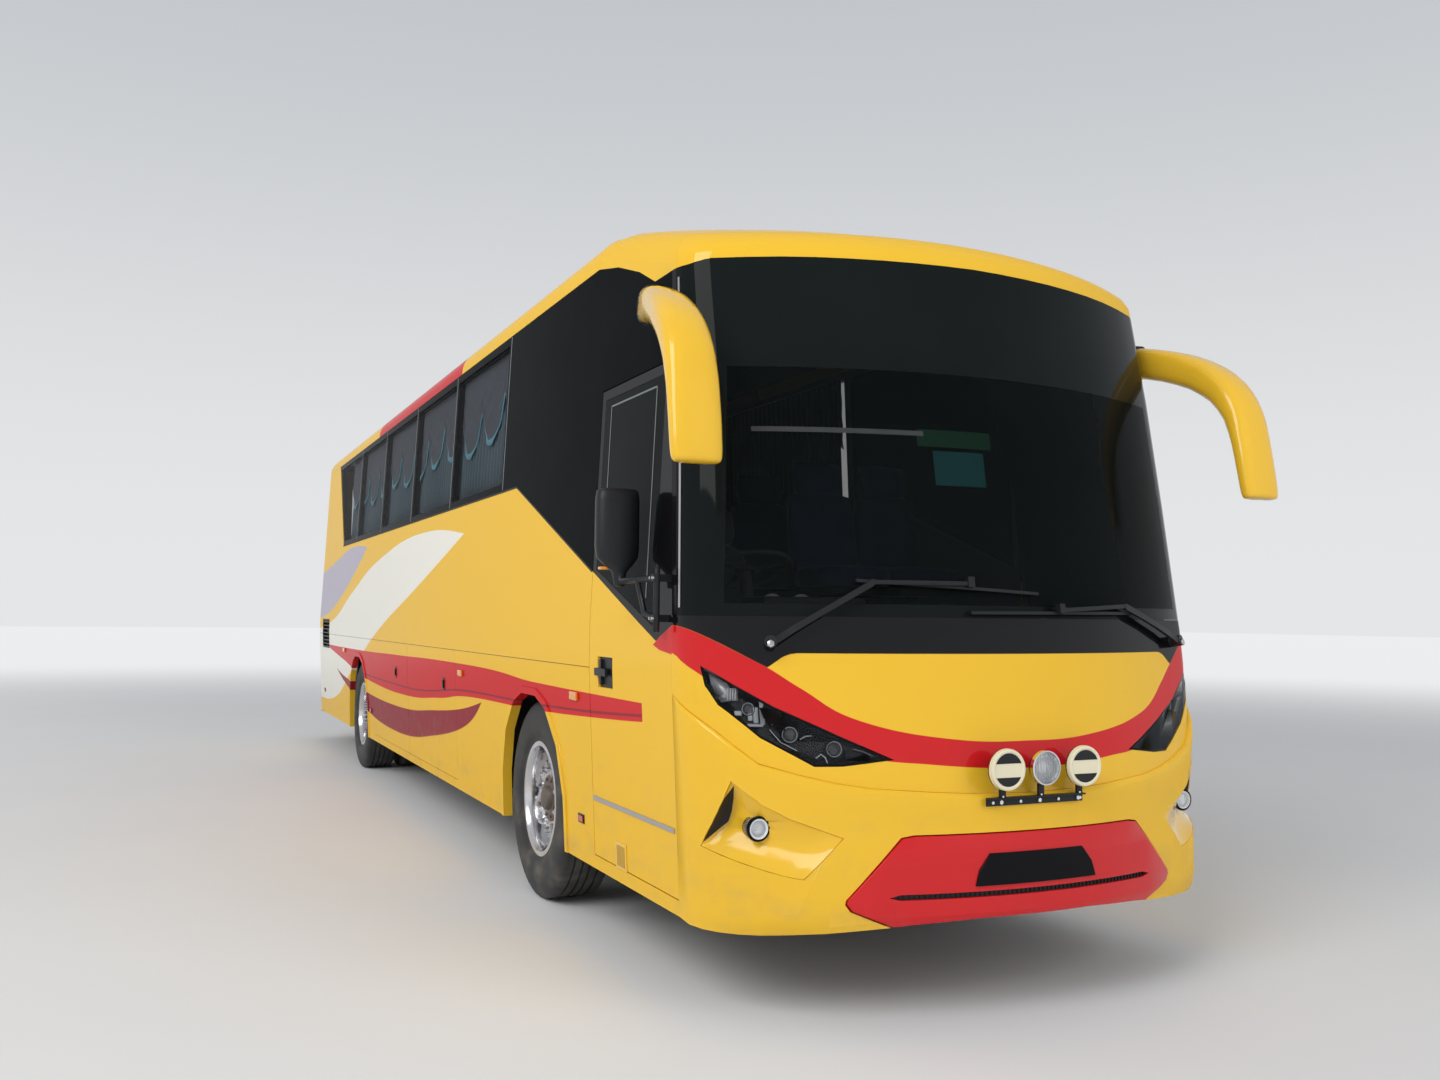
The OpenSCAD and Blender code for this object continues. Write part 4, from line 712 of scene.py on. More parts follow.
def take_in(shape, part):
    """Adds a finished part to a shape."""
    mesh = bpy.data.meshes.new("part")
    part.to_mesh(mesh)
    part.free()
    shape.from_mesh(mesh)
    bpy.data.meshes.remove(mesh)


def spun(shape, profile, point, direction, steps=48, closed=False, index=0):
    """Turns a profile of (radius, height) points round direction at point."""
    part = bmesh.new()
    verts = [part.verts.new((r, 0, h)) for r, h in profile]
    edges = [part.edges.new(pair) for pair in zip(verts, verts[1:])]
    if closed:
        edges.append(part.edges.new((verts[-1], verts[0])))
    bmesh.ops.spin(part, geom=verts + edges, cent=(0, 0, 0), axis=(0, 0, 1), angle=math.tau, steps=steps,
                   use_merge=True)
    bmesh.ops.remove_doubles(part, verts=part.verts, dist=0.00001)
    bmesh.ops.recalc_face_normals(part, faces=part.faces)
    for face in part.faces:
        face.material_index = index
    bmesh.ops.transform(part, matrix=place_matrix(point, direction), verts=part.verts)
    take_in(shape, part)


def wrapped_plate(shape, across, upward, columns, rows, inner, outer, index=0):
    """Closed plate between two surfaces; inner and outer turn two measures into a point."""
    part = bmesh.new()
    flat = bmesh.ops.create_grid(part, x_segments=columns, y_segments=rows, size=0.5)["verts"]
    pulled = bmesh.ops.extrude_face_region(part, geom=list(part.faces))["geom"]
    pulled = [v for v in pulled if isinstance(v, bmesh.types.BMVert)]
    for verts, surface in ((flat, inner), (pulled, outer)):
        for vert in verts:
            a = across[0] + (across[1] - across[0]) * (vert.co.x + 0.5)
            b = upward[0] + (upward[1] - upward[0]) * (vert.co.y + 0.5)
            vert.co = surface(a, b)
    bmesh.ops.recalc_face_normals(part, faces=part.faces)
    for face in part.faces:
        face.material_index = index
    take_in(shape, part)


def nose_plate(shape, across, upward, back, front, columns=12, rows=1, index=0):
    """Plate that follows the nose, from inset back to inset front."""
    wrapped_plate(shape, across, upward, columns, rows, lambda y, z: nose_at(y, z, back),
                  lambda y, z: nose_at(y, z, front), index)


def side_plate(shape, side, along, upward, back, front, columns=1, rows=1, index=0):
    wrapped_plate(shape, along, upward, columns, rows, lambda x, z: side_at(side, x, z, back),
                  lambda x, z: side_at(side, x, z, front), index)


def add_pad(shape, size, at, crown=0.35, cuts=3):
    """Crowned closed pad: a block whose faces swell between its corners."""
    part = bmesh.new()
    bmesh.ops.create_cube(part, size=2)
    bmesh.ops.subdivide_edges(part, edges=list(part.edges), cuts=cuts, use_grid_fill=True)
    for vert in part.verts:
        x, y, z = vert.co
        ball = Vector((x * math.sqrt(1 - y * y / 2 - z * z / 2 + y * y * z * z / 3),
                       y * math.sqrt(1 - x * x / 2 - z * z / 2 + x * x * z * z / 3),
                       z * math.sqrt(1 - x * x / 2 - y * y / 2 + x * x * y * y / 3)))
        swollen = vert.co.lerp(ball * 1.12, crown)
        vert.co = at @ Vector(c * s / 2 for c, s in zip(swollen, size))
    take_in(shape, part)


def wire(name, path, radius, body, material):
    """Round bar along an open path, as one piece."""
    data = bpy.data.curves.new(name, "CURVE")
    data.dimensions = "3D"
    data.bevel_depth = radius
    data.bevel_resolution = 3
    data.use_fill_caps = True
    line = data.splines.new("NURBS")
    line.points.add(len(path) - 1)
    for point, place in zip(line.points, path):
        point.co = (*place, 1)
    line.use_endpoint_u = True
    line.order_u = 3
    line.resolution_u = 6
    curve = bpy.data.objects.new(name, data)
    mesh = bpy.data.meshes.new_from_object(curve)
    bpy.data.objects.remove(curve)
    made = bpy.data.objects.new(name, mesh)
    bpy.context.scene.collection.objects.link(made)
    mesh.materials.append(MATERIALS[material])
    finish_mesh(mesh, 50)
    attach(made, body)


class CoachOperator:
    """Shared settings of the operators."""

    bl_options = {"REGISTER", "UNDO"}


class COACH_OT_materials(CoachOperator, bpy.types.Operator):
    """Make the finishes from the colour settings"""

    bl_idname = "coach.materials"
    bl_label = "Make finishes"

    def execute(self, context):
        make_materials(context.scene.coach_colours)
        return {"FINISHED"}


def faces_cabin(centre, normal):
    """Faces of a panel that look into the cabin."""
    return normal.y * math.copysign(1, centre.y) < -0.5 and abs(centre.y) > 1.0


class COACH_OT_body(CoachOperator, bpy.types.Operator):
    """Dress the painted body panels, doors, flaps and lid"""

    bl_idname = "coach.body"
    bl_label = "Dress body panels"

    def execute(self, context):
        for node in ("right_side", "left_side", "driver_door", "passenger_door"):
            even_shading(dressed_copy(node, ("side paint", "cabin lining"), angle=35, marks=faces_cabin))
        for node in ("roof_skin", "roof_dome", "rear_dome"):
            dressed_copy(node, ("paint", "cabin lining"), angle=35,
                         marks=lambda centre, normal: normal.z < -0.5)
        for node in ("front_fascia", "front_bumper", "rear_wall", "rear_bumper", "engine_lid"):
            dressed_copy(node, "paint", angle=35)
        for node in ("flap_right_front", "flap_right_rear", "flap_left_front", "flap_left_rear"):
            even_shading(dressed_copy(node, "paint", angle=35))
        dressed_copy("bumper_insert", "insert red", angle=35, bevel=0.003)
        dressed_copy("screen_frame", "black gloss", angle=35)
        dressed_copy("number_plate", "black gloss", angle=35, bevel=0.002)
        dressed_copy("door_handle", "trim plastic", angle=35, bevel=0.002)
        return {"FINISHED"}


class COACH_OT_side_trim(CoachOperator, bpy.types.Operator):
    """Add the strips, latches, reflectors, vents and pillar strips"""

    bl_idname = "coach.side_trim"
    bl_label = "Add side trim"

    def execute(self, context):
        repaint("side_grilles", "trim plastic")
        for side, label in SIDES:
            door = "driver_door" if side == RIGHT else "passenger_door"
            shape = bmesh.new()
            side_plate(shape, side, (4.352, 5.315), (0.652, 0.672), 0.0, -0.006, 8)
            piece(door + "_strip", shape, door, "steel")
            for x, flap in ((1.19, "front"), (-0.655, "rear")):
                shape = bmesh.new()
                side_plate(shape, side, (x - 0.032, x + 0.032), (0.962, 1.052), 0.0, -0.003)
                side_plate(shape, side, (x - 0.024, x + 0.024), (0.972, 1.042), -0.003, -0.004, index=1)
                side_plate(shape, side, (x - 0.010, x + 0.010), (0.980, 1.034), -0.003, -0.011)
                name = "flap_" + label + "_" + flap
                latch = piece(name + "_latch", shape, name, ("trim plastic", "black gloss"))
                rounded(latch, 0.002)
            shape = bmesh.new()
            for x, z in ((4.16, 0.538), (-1.98, 0.60), (-5.3, 0.60)):
                side_plate(shape, side, (x - 0.042, x + 0.042), (z - 0.021, z + 0.021), 0.0, -0.005)
                side_plate(shape, side, (x - 0.034, x + 0.034), (z - 0.014, z + 0.014), -0.005, -0.009, index=1)
            made = piece("reflectors_" + label, shape, "coach", ("trim plastic", "red lens"))
            rounded(made, 0.0015)
            # Door foot hold: a yellow frame round a darker amber plate. The amber is painted shade for a recess that
            # the proud plates don't model
            shape = bmesh.new()
            side_plate(shape, side, (4.635, 4.765), (0.400, 0.515), 0.0, -0.005)
            side_plate(shape, side, (4.652, 4.748), (0.412, 0.500), -0.005, -0.006, index=1)
            made = piece(door + "_foot_hold", shape, door, ("yellow paint", "recess shade"))
            rounded(made, 0.003)
            # Inner frame line of the door window and the outline of its sliding pane
            shape = bmesh.new()
            corners = [(4.475, 1.76), (4.475, 2.435), (5.035, 2.435), (5.035, 1.56)]
            for start, end in zip(corners, corners[1:]):
                along = Vector((end[0] - start[0], 0, end[1] - start[1]))
                off = Vector((-along.z, 0, along.x)).normalized() * 0.004
                wrapped_plate(shape, (0, 1), (-1, 1), 6, 1,
                              lambda a, b: side_at(side, start[0] + along.x * a + off.x * b,
                                                   start[1] + along.z * a + off.z * b, -0.0005),
                              lambda a, b: side_at(side, start[0] + along.x * a + off.x * b,
                                                   start[1] + along.z * a + off.z * b, -0.002))
            for x0, x1, z0, z1 in ((4.53, 4.536, 1.84, 2.02), (4.68, 4.686, 1.80, 2.03),
                                   (4.53, 4.686, 2.024, 2.030)):
                side_plate(shape, side, (x0, x1), (z0, z1), -0.0005, -0.003)
            piece(door + "_window_lines", shape, door, "frame line")
            # Gasket round the glass band's lower edge
            shape = bmesh.new()
            for x0, x1 in ((-4.13, -2.5), (-2.5, -0.9), (-0.9, 0.7), (0.7, DIAGONAL_X)):
                side_plate(shape, side, (x0, x1), (WINDOW_Z - 0.006, WINDOW_Z + 0.004), 0.002, -0.003, 4)
            wrapped_plate(
                shape, (DIAGONAL_X, 4.325), (-0.006, 0.005), 6, 1,
                lambda x, rise: side_at(side, x, WINDOW_Z + (x - DIAGONAL_X) * DIAGONAL_SLOPE + rise, 0.002),
                lambda x, rise: side_at(side, x, WINDOW_Z + (x - DIAGONAL_X) * DIAGONAL_SLOPE + rise, -0.003))
            piece("band_gasket_" + label, shape, "coach", "rubber")
            # Divisions between the panes
            shape = bmesh.new()
            for x in (2.58, 1.14, -0.30, -1.74, -3.18):
                side_plate(shape, side, (x - 0.006, x + 0.006), (WINDOW_Z + 0.01, 3.14), 0.002, -0.0015, rows=6)
            piece("pane_divisions_" + label, shape, "coach", "frame line")
            # Bright strip up the windscreen's corner
            shape = bmesh.new()
            wrapped_plate(shape, (-0.012, 0.012), (1.52, 2.86), 1, 16,
                          lambda off, z: nose_point(side * (0.868 + off), z, 0.004),
                          lambda off, z: nose_point(side * (0.868 + off), z, -0.004))
            piece("pillar_strip_" + label, shape, "coach", "steel")
        return {"FINISHED"}


class COACH_OT_glass(CoachOperator, bpy.types.Operator):
    """Dress the windscreen and the windows, and hang the curtains"""

    bl_idname = "coach.glass"
    bl_label = "Dress glass and curtains"
    curtained = (-4.05, 6.55)  # start and length along x

    def execute(self, context):
        dressed_copy("windscreen", "windscreen", angle=40)
        for node in ("right_glass", "left_glass"):
            even_shading(dressed_copy(node, "side glass", angle=40))
        dressed_copy("rear_window", "side glass", angle=40)
        for node in ("driver_door_glass", "passenger_door_glass"):
            repaint(node, "door glass")
        for side, label in SIDES:
            self.curtain(side, label)
            self.swags(side, label)
            shape = bmesh.new()
            add_bar(shape, side_at(side, -4.2, 3.10, 0.055), side_at(side, 2.55, 3.10, 0.055), 0.007)
            piece("curtain_rail_" + label, shape, "coach", "steel")
        return {"FINISHED"}

    def cloth_grid(self, columns, rows, place):
        shape = bmesh.new()
        flat = bmesh.ops.create_grid(shape, x_segments=columns, y_segments=rows, size=0.5)["verts"]
        for vert in flat:
            vert.co = place(vert.co.x + 0.5, vert.co.y + 0.5)
        bmesh.ops.recalc_face_normals(shape, faces=shape.faces)
        return shape

    def curtain(self, side, label):
        start, length = self.curtained
        top, foot, pitch, depth = 3.095, 2.275, 0.078, 0.009

        def place(a, b):
            x = start + length * a
            fold = depth * math.sin(math.tau * x / pitch) * (1 + 0.35 * math.sin(x * 5.3)) * (0.6 + 0.4 * (1 - b))
            return side_at(side, x + 0.004 * math.sin(7 * x), foot + (top - foot) * b, 0.062 + fold)

        made = piece("curtain_" + label, self.cloth_grid(760, 6, place), "coach", "curtain cloth", 80)
        walled(made, 0.0012)

    def swags(self, side, label):
        start, length = self.curtained
        top, pitch = 3.098, 0.58

        def edge(x):
            part = (x / pitch) % 1.0
            return 2.56 + 0.27 * abs(2 * part - 1) ** 2.2 + 0.03 * math.sin(3.1 * x)

        def place(a, b):
            x = start + length * a
            low = edge(x)
            fold = 0.006 * math.sin(18 * b + 3 * math.cos(math.tau * x / pitch))
            return side_at(side, x, low + (top - low) * b, 0.047 + fold * (1 - b))

        made = piece("swag_" + label, self.cloth_grid(280, 14, place), "coach", "swag cloth", 80)
        field = made.data.attributes.new("edge_distance", "FLOAT", "POINT")
        for vert, value in zip(made.data.vertices, field.data):
            x = vert.co.x
            slope = abs(edge(x + 0.01) - edge(x - 0.01)) / 0.02
            width = 0.040 * max(0.25, 1.0 - 0.30 * slope)
            value.value = min(1.0, (vert.co.z - edge(x)) / width * 0.5)
        walled(made, 0.0012)


class COACH_OT_headlamps(CoachOperator, bpy.types.Operator):
    """Build the headlamps: clear covers, black tubs and what shows inside"""

    bl_idname = "coach.headlamps"
    bl_label = "Build headlamps"

    def execute(self, context):
        for side, label in SIDES:
            self.cover_and_tub(side, label)
            self.inside(side, label)
        return {"FINISHED"}

    def cover_and_tub(self, side, label):
        def own(face):
            return face.calc_center_median().y * side > 0

        shape = node_shape("headlamps", lambda face: own(face) and face.normal.x > 0.04, flat=0)
        rim = bmesh.ops.inset_region(shape, faces=list(shape.faces), thickness=0.009, use_boundary=True,
                                     use_even_offset=True)["faces"]
        for face in rim:
            face.material_index = 1
        walled(piece("headlamp_cover_" + label, shape, "coach", ("lamp cover", "black gloss"), 40,
                     replaces=("headlamps",)), 0.003)
        shape = node_shape("headlamps", lambda face: own(face) and face.normal.x <= 0.04)
        walled(piece("headlamp_tub_" + label, shape, "coach", "lamp bowl", 40), 0.002)

    def inside(self, side, label):
        def spot(y, z, inset):
            return nose_at(side * y, z, inset), nose_normal(nose_step(side * y, z), z)

        # Stepped reflector behind the turn lamp
        shape = bmesh.new()
        corners = ((1.186, 1.276), (1.130, 1.238), (1.100, 1.176), (1.150, 1.168), (1.174, 1.196))
        face = shape.faces.new([shape.verts.new(spot(y, z, 0.016)[0]) for y, z in corners])
        bmesh.ops.recalc_face_normals(shape, faces=[face])
        for thickness, depth in ((0.007, -0.002), (0.006, -0.016), (0.008, -0.006)):
            bmesh.ops.inset_region(shape, faces=[face], thickness=thickness, depth=depth, use_even_offset=True)
        walled(piece("turn_reflector_" + label, shape, "coach", "lamp silver", 25), -0.002)
        # Curved silver blades round the small bowl
        shape = bmesh.new()
        for y0, y1, z0, z1 in ((1.004, 1.022, 1.085, 1.172), (1.026, 1.044, 1.092, 1.150),
                               (1.046, 1.062, 1.100, 1.128), (1.010, 1.066, 1.078, 1.090),
                               (1.082, 1.108, 1.118, 1.136), (0.968, 0.984, 1.086, 1.108)):
            nose_plate(shape, (side * y0, side * y1), (z0, z1), 0.034, 0.026, 4, 4)
        rounded(piece("lamp_blades_" + label, shape, "coach", "lamp silver", 30), 0.003)
        # Ribbed white block
        shape = bmesh.new()
        at, out = spot(1.113, 1.195, 0.045)
        turn = place_matrix(at, out)
        for k in range(4):
            add_block(shape, (-0.018 + 0.0095 * k, -0.022, 0), (-0.0115 + 0.0095 * k, 0.022, 0.020), 0.0015, turn)
        add_block(shape, (-0.020, -0.024, -0.006), (0.020, 0.024, 0.004), 0.002, turn)
        piece("turn_block_" + label, shape, "coach", "white plastic")
        # Bowls, projectors, the small lamp and their bright rings
        dark, bright, lens = bmesh.new(), bmesh.new(), bmesh.new()
        for y, z, radius, inset in ((1.060, 1.142, 0.024, 0.040), (0.923, 1.049, 0.030, 0.048),
                                    (0.769, 0.997, 0.030, 0.048)):
            at, out = spot(y, z, inset)
            spun(bright, [(radius * 0.86, 0.010), (radius * 0.98, 0.016), (radius * 1.10, 0.014),
                          (radius * 1.14, 0.004), (radius * 1.02, -0.002), (radius * 0.86, 0.0)],
                 at, out, 40, closed=True)
            spun(dark, [(0, -0.022), (radius * 0.6, -0.016), (radius * 0.86, 0.0), (radius * 1.02, -0.002),
                        (radius * 0.8, -0.024), (0, -0.030)], at, out, 40)
            spun(lens, [(0, 0.012), (radius * 0.4, 0.0095), (radius * 0.7, 0.004), (radius * 0.86, -0.004),
                        (radius * 0.5, -0.008), (0, -0.009)], at, out, 40)
        at, out = spot(0.973, 1.105, 0.034)
        spun(bright, [(0, 0.004), (0.006, 0.003), (0.010, 0.006), (0.012, 0.0), (0.008, -0.006), (0, -0.007)],
             at, out, 24)
        # Bright strip and blades between the lamps
        for path, width in ((((1.010, 1.170), (1.014, 1.120), (1.018, 1.080)), 0.006),
                            (((0.888, 1.034), (0.866, 1.046), (0.846, 1.047)), 0.004),
                            (((0.836, 0.965), (0.818, 0.980), (0.803, 0.968), (0.797, 0.948)), 0.005),
                            (((0.700, 1.000), (0.660, 0.988), (0.626, 0.972)), 0.003),
                            (((0.990, 1.068), (0.955, 1.022), (0.900, 0.992)), 0.004)):
            for start, end in zip(path, path[1:]):
                add_bar(bright, spot(*start, 0.036)[0], spot(*end, 0.036)[0], width, 10)
        # Stepped dark shelf under the lamps
        for y, z, dy, dz in ((0.85, 1.005, 0.20, 0.016), (1.07, 1.085, 0.07, 0.012), (0.66, 0.975, 0.06, 0.010)):
            nose_plate(dark, (side * (y - dy), side * (y + dy)), (z - dz, z + dz), 0.085, 0.070, 6)
        piece("lamp_bowls_" + label, dark, "coach", "lamp bowl", 40)
        piece("lamp_rings_" + label, bright, "coach", "chrome", 40)
        piece("lamp_lenses_" + label, lens, "coach", "lens glass", 60)


class COACH_OT_fog_lamps(CoachOperator, bpy.types.Operator):
    """Build the fog lamps and dress the trays that hold them"""

    bl_idname = "coach.fog_lamps"
    bl_label = "Build fog lamps"
    lamp_y, lamp_z, lamp_radius = 1.02826, 0.710, 0.040

    def execute(self, context):
        foot = nose_point(0.559, self.lamp_z).x - 0.095
        front = foot + 0.062

        def cap(face):
            centre = face.calc_center_median()
            near = self.off_axis(centre) < self.lamp_radius + 0.0005
            return face.normal.x > 0.95 and near and centre.x > front - 0.002

        shape = node_shape("fog_lamps", lambda face: not cap(face), flat=0)
        for vert in shape.verts:
            if abs(self.off_axis(vert.co) - self.lamp_radius) < 0.0005 and vert.co.x > front - 0.002:
                vert.co.x -= 0.012
        # The dark outboard end of each tray, then the lamp's barrel
        mark(shape, 1, lambda centre, normal: normal.y * math.copysign(1, centre.y) < -0.3 and normal.x > 0.3
             and normal.z < 0 and abs(centre.y) > 1.093)
        mark(shape, 2, lambda centre, normal: abs(self.off_axis(centre) - self.lamp_radius) < 0.003
             and abs(normal.x) < 0.1)
        piece("fog_trays", shape, "coach", ("yellow paint", "trim plastic", "black gloss"), 30,
              replaces=("fog_lamps",))
        for side, label in SIDES:
            at = Vector((foot, side * self.lamp_y, self.lamp_z))
            shape = bmesh.new()
            spun(shape, [(0, 0.0), (0.036, 0.0), (0.040, 0.006), (0.040, 0.052), (0.037, 0.060), (0.033, 0.060),
                         (0.031, 0.054), (0.022, 0.046), (0.010, 0.041), (0, 0.040)], at, (1, 0, 0), 40)
            spun(shape, [(0.037, 0.046), (0.046, 0.046), (0.0475, 0.051), (0.046, 0.058), (0.040, 0.0605),
                         (0.037, 0.056)], at, (1, 0, 0), 40, closed=True, index=1)
            piece("fog_lamp_" + label, shape, "coach", ("lamp silver", "black gloss"), 40)
            shape = bmesh.new()
            spun(shape, [(0, 0.0600), (0.014, 0.0590), (0.026, 0.0555), (0.0305, 0.052), (0.026, 0.050), (0, 0.052)],
                 at, (1, 0, 0), 40)
            piece("fog_lens_" + label, shape, "coach", "lens glass", 60)
            shape = bmesh.new()
            add_disc(shape, 0.008, 0.010, at + Vector((0.040, 0, 0)), (1, 0, 0), 16, bevel=0.002)
            piece("fog_bulb_" + label, shape, "coach", "white plastic")
        return {"FINISHED"}

    def off_axis(self, place):
        """Distance from the lamp's axis."""
        return math.hypot(abs(place.y) - self.lamp_y, place.z - self.lamp_z)


class COACH_OT_driving_lamps(CoachOperator, bpy.types.Operator):
    """Build the three driving lamps on their bar"""

    bl_idname = "coach.driving_lamps"
    bl_label = "Build driving lamps"

    def execute(self, context):
        back, z = 5.930, 0.928
        ahead = (1, 0, 0)
        black, cream, bright, lens = (bmesh.new() for _ in range(4))
        for y, radius in ((-0.167, 0.078), (0.194, 0.078)):
            at = (back, y, z)
            spun(black, [(0, 0.0), (radius * 0.45, 0.0), (radius * 0.74, 0.018), (radius * 0.97, 0.040),
                         (radius, 0.048), (radius * 0.94, 0.052), (0, 0.052)], at, ahead, 48)
            spun(cream, [(0, 0.0655), (radius * 0.80, 0.0655), (radius * 0.84, 0.0685), (radius * 0.91, 0.0695),
                         (radius * 0.97, 0.067), (radius, 0.061), (radius, 0.049), (radius * 0.95, 0.047),
                         (0, 0.047)], at, ahead, 48)
            for edge_z, out in ((0.30, -1), (-0.36, 1)):
                disc = bmesh.ops.create_circle(black, cap_ends=True, segments=48, radius=radius * 0.79,
                                               matrix=place_matrix((back + 0.0656, y, z), ahead))["verts"]
                geom = bmesh.ops.bisect_plane(
                    black, geom=linked(disc, "link_faces") + linked(disc, "link_edges") + disc,
                    plane_co=(0, 0, z + edge_z * radius), plane_no=(0, 0, out), clear_outer=True)["geom"]
                top = [g for g in geom if isinstance(g, bmesh.types.BMFace) and g.is_valid]
                pulled = bmesh.ops.extrude_face_region(black, geom=top)["geom"]
                bmesh.ops.translate(black, vec=(0.0012, 0, 0),
                                    verts=[v for v in pulled if isinstance(v, bmesh.types.BMVert)])
        at, radius = (back, 0.011, z), 0.065
        for shape, profile in (
                (black, ((0, 0.0), (0.45, 0.0), (0.8, 0.022), (0.96, 0.044), (0.9, 0.044), (0.7, 0.026), (0.3, 0.008),
                         (0, 0.006))),
                (bright, ((0, 0.012), (0.3, 0.014), (0.66, 0.030), (0.88, 0.052), (0.92, 0.066), (1, 0.064), (1, 0.046),
                          (0.9, 0.046), (0.66, 0.024), (0, 0.009))),
                (lens, ((0, 0.0690), (0.4, 0.0680), (0.75, 0.0645), (0.91, 0.060), (0.7, 0.058), (0, 0.062)))):
            spun(shape, [(radius * share, height) for share, height in profile], at, ahead, 48)
        for k in range(-4, 5):
            reach = math.sqrt(max(0.0, (radius * 0.84) ** 2 - (0.0125 * k) ** 2))
            add_block(lens, (back + 0.0575, 0.011 + 0.0125 * k - 0.0012, z - reach),
                      (back + 0.0610, 0.011 + 0.0125 * k + 0.0012, z + reach))
        # Bar, brackets and bolts
        add_block(black, (5.9418, -0.232, 0.790), (5.9476, 0.219, 0.822), 0.001)
        add_block(black, (5.9476, -0.232, 0.816), (5.9670, 0.219, 0.822), 0.001)
        for y in (-0.167, 0.011, 0.194):
            add_block(black, (5.9500, y - 0.013, 0.822), (5.9620, y + 0.013, 0.872), 0.001)
            add_disc(bright, 0.0075, 0.006, (5.9560, y, 0.8225), (0, 0, 1), 6)
            add_disc(bright, 0.0085, 0.005, (5.9478, y, 0.803), ahead, 6)
        for y in (-0.205, -0.078, 0.100, 0.205):
            add_disc(bright, 0.006, 0.004, (5.9478, y, 0.803), ahead, 12)
        bmesh.ops.recalc_face_normals(black, faces=black.faces)
        piece("driving_lamp_bowls_and_bar", black, "coach", "trim plastic", 40, replaces=("driving_lamps",))
        piece("driving_lamp_covers", cream, "coach", "cream", 40)
        piece("driving_lamp_bright_parts", bright, "coach", "chrome", 40)
        piece("driving_lamp_lens", lens, "coach", "lens glass", 40)
        # Mesh in the insert's slot
        shape = bmesh.new()
        nose_plate(shape, (-0.604, 0.604), (0.463, 0.481), 0.016, 0.010, 40)
        for k in range(60):
            y = -0.590 + 0.020 * k
            nose_plate(shape, (y - 0.0025, y + 0.0025), (0.464, 0.480), 0.010, 0.005, 1)
        piece("insert_mesh", shape, "coach", "trim plastic", 40)
        return {"FINISHED"}


class COACH_OT_rear(CoachOperator, bpy.types.Operator):
    """Build the tail lamps, the marker lamps and the trim at the rear"""

    bl_idname = "coach.rear"
    bl_label = "Build rear lamps and trim"

    def execute(self, context):
        back = (-1, 0, 0)
        dressed_copy("tail_lamps", "black gloss", angle=40, bevel=0.002)
        dressed_copy("marker_lamps", "amber lens", angle=40, bevel=0.004)
        rings, red, amber, white = (bmesh.new() for _ in range(4))
        face = low("tail_lamps").x
        for side in (RIGHT, LEFT):
            for shape, z in ((red, 1.36), (amber, 1.21), (red, 1.06), (white, 0.91)):
                at = (face + 0.018, side * 1.040, z)
                spun(shape, [(0, 0.0165), (0.020, 0.0160), (0.038, 0.0135), (0.048, 0.009), (0.049, 0.0), (0, 0.0)],
                     at, back, 36)
                spun(rings, [(0.0495, 0.0), (0.0495, 0.0130), (0.053, 0.0150), (0.058, 0.0130), (0.060, 0.0)],
                     at, back, 36, closed=True)
                for ring in (0.018, 0.032):
                    spun(shape, [(ring - 0.0012, 0.0150), (ring, 0.0172), (ring + 0.0012, 0.0150)],
                         at, back, 36, closed=True)
        piece("tail_lamp_rings", rings, "coach", "chrome", 40)
        piece("tail_lamp_red_lenses", red, "coach", "red lens", 40)
        piece("tail_lamp_amber_lenses", amber, "coach", "amber lens", 40)
        piece("tail_lamp_clear_lenses", white, "coach", "white plastic", 40)
        # Louvres, handle and blank plate holder of the lid
        tail = low("engine_lid").x
        shape = bmesh.new()
        for k in range(9):
            z = 0.640 + 0.036 * k
            for y in (-0.40, 0.40):
                add_block(shape, (tail - 0.001, y - 0.24, z), (tail + 0.030, y + 0.24, z + 0.013), 0.002)
        add_block(shape, (tail - 0.0005, -0.075, 1.16), (tail + 0.030, 0.075, 1.195), 0.004)
        piece("engine_lid_louvres", shape, "engine_lid", "trim plastic")
        shape = bmesh.new()
        add_block(shape, (tail - 0.001, -0.27, 1.005), (tail + 0.030, 0.27, 1.125), 0.003)
        piece("rear_plate_blank", shape, "engine_lid", "black gloss")
        shape = bmesh.new()
        for side in (RIGHT, LEFT):
            add_block(shape, (low("rear_bumper").x + 0.002, side * 0.93 - 0.07, 0.425),
                      (low("rear_bumper").x + 0.05, side * 0.93 + 0.07, 0.465), 0.003)
        piece("rear_reflectors", shape, "coach", "red lens")
        return {"FINISHED"}


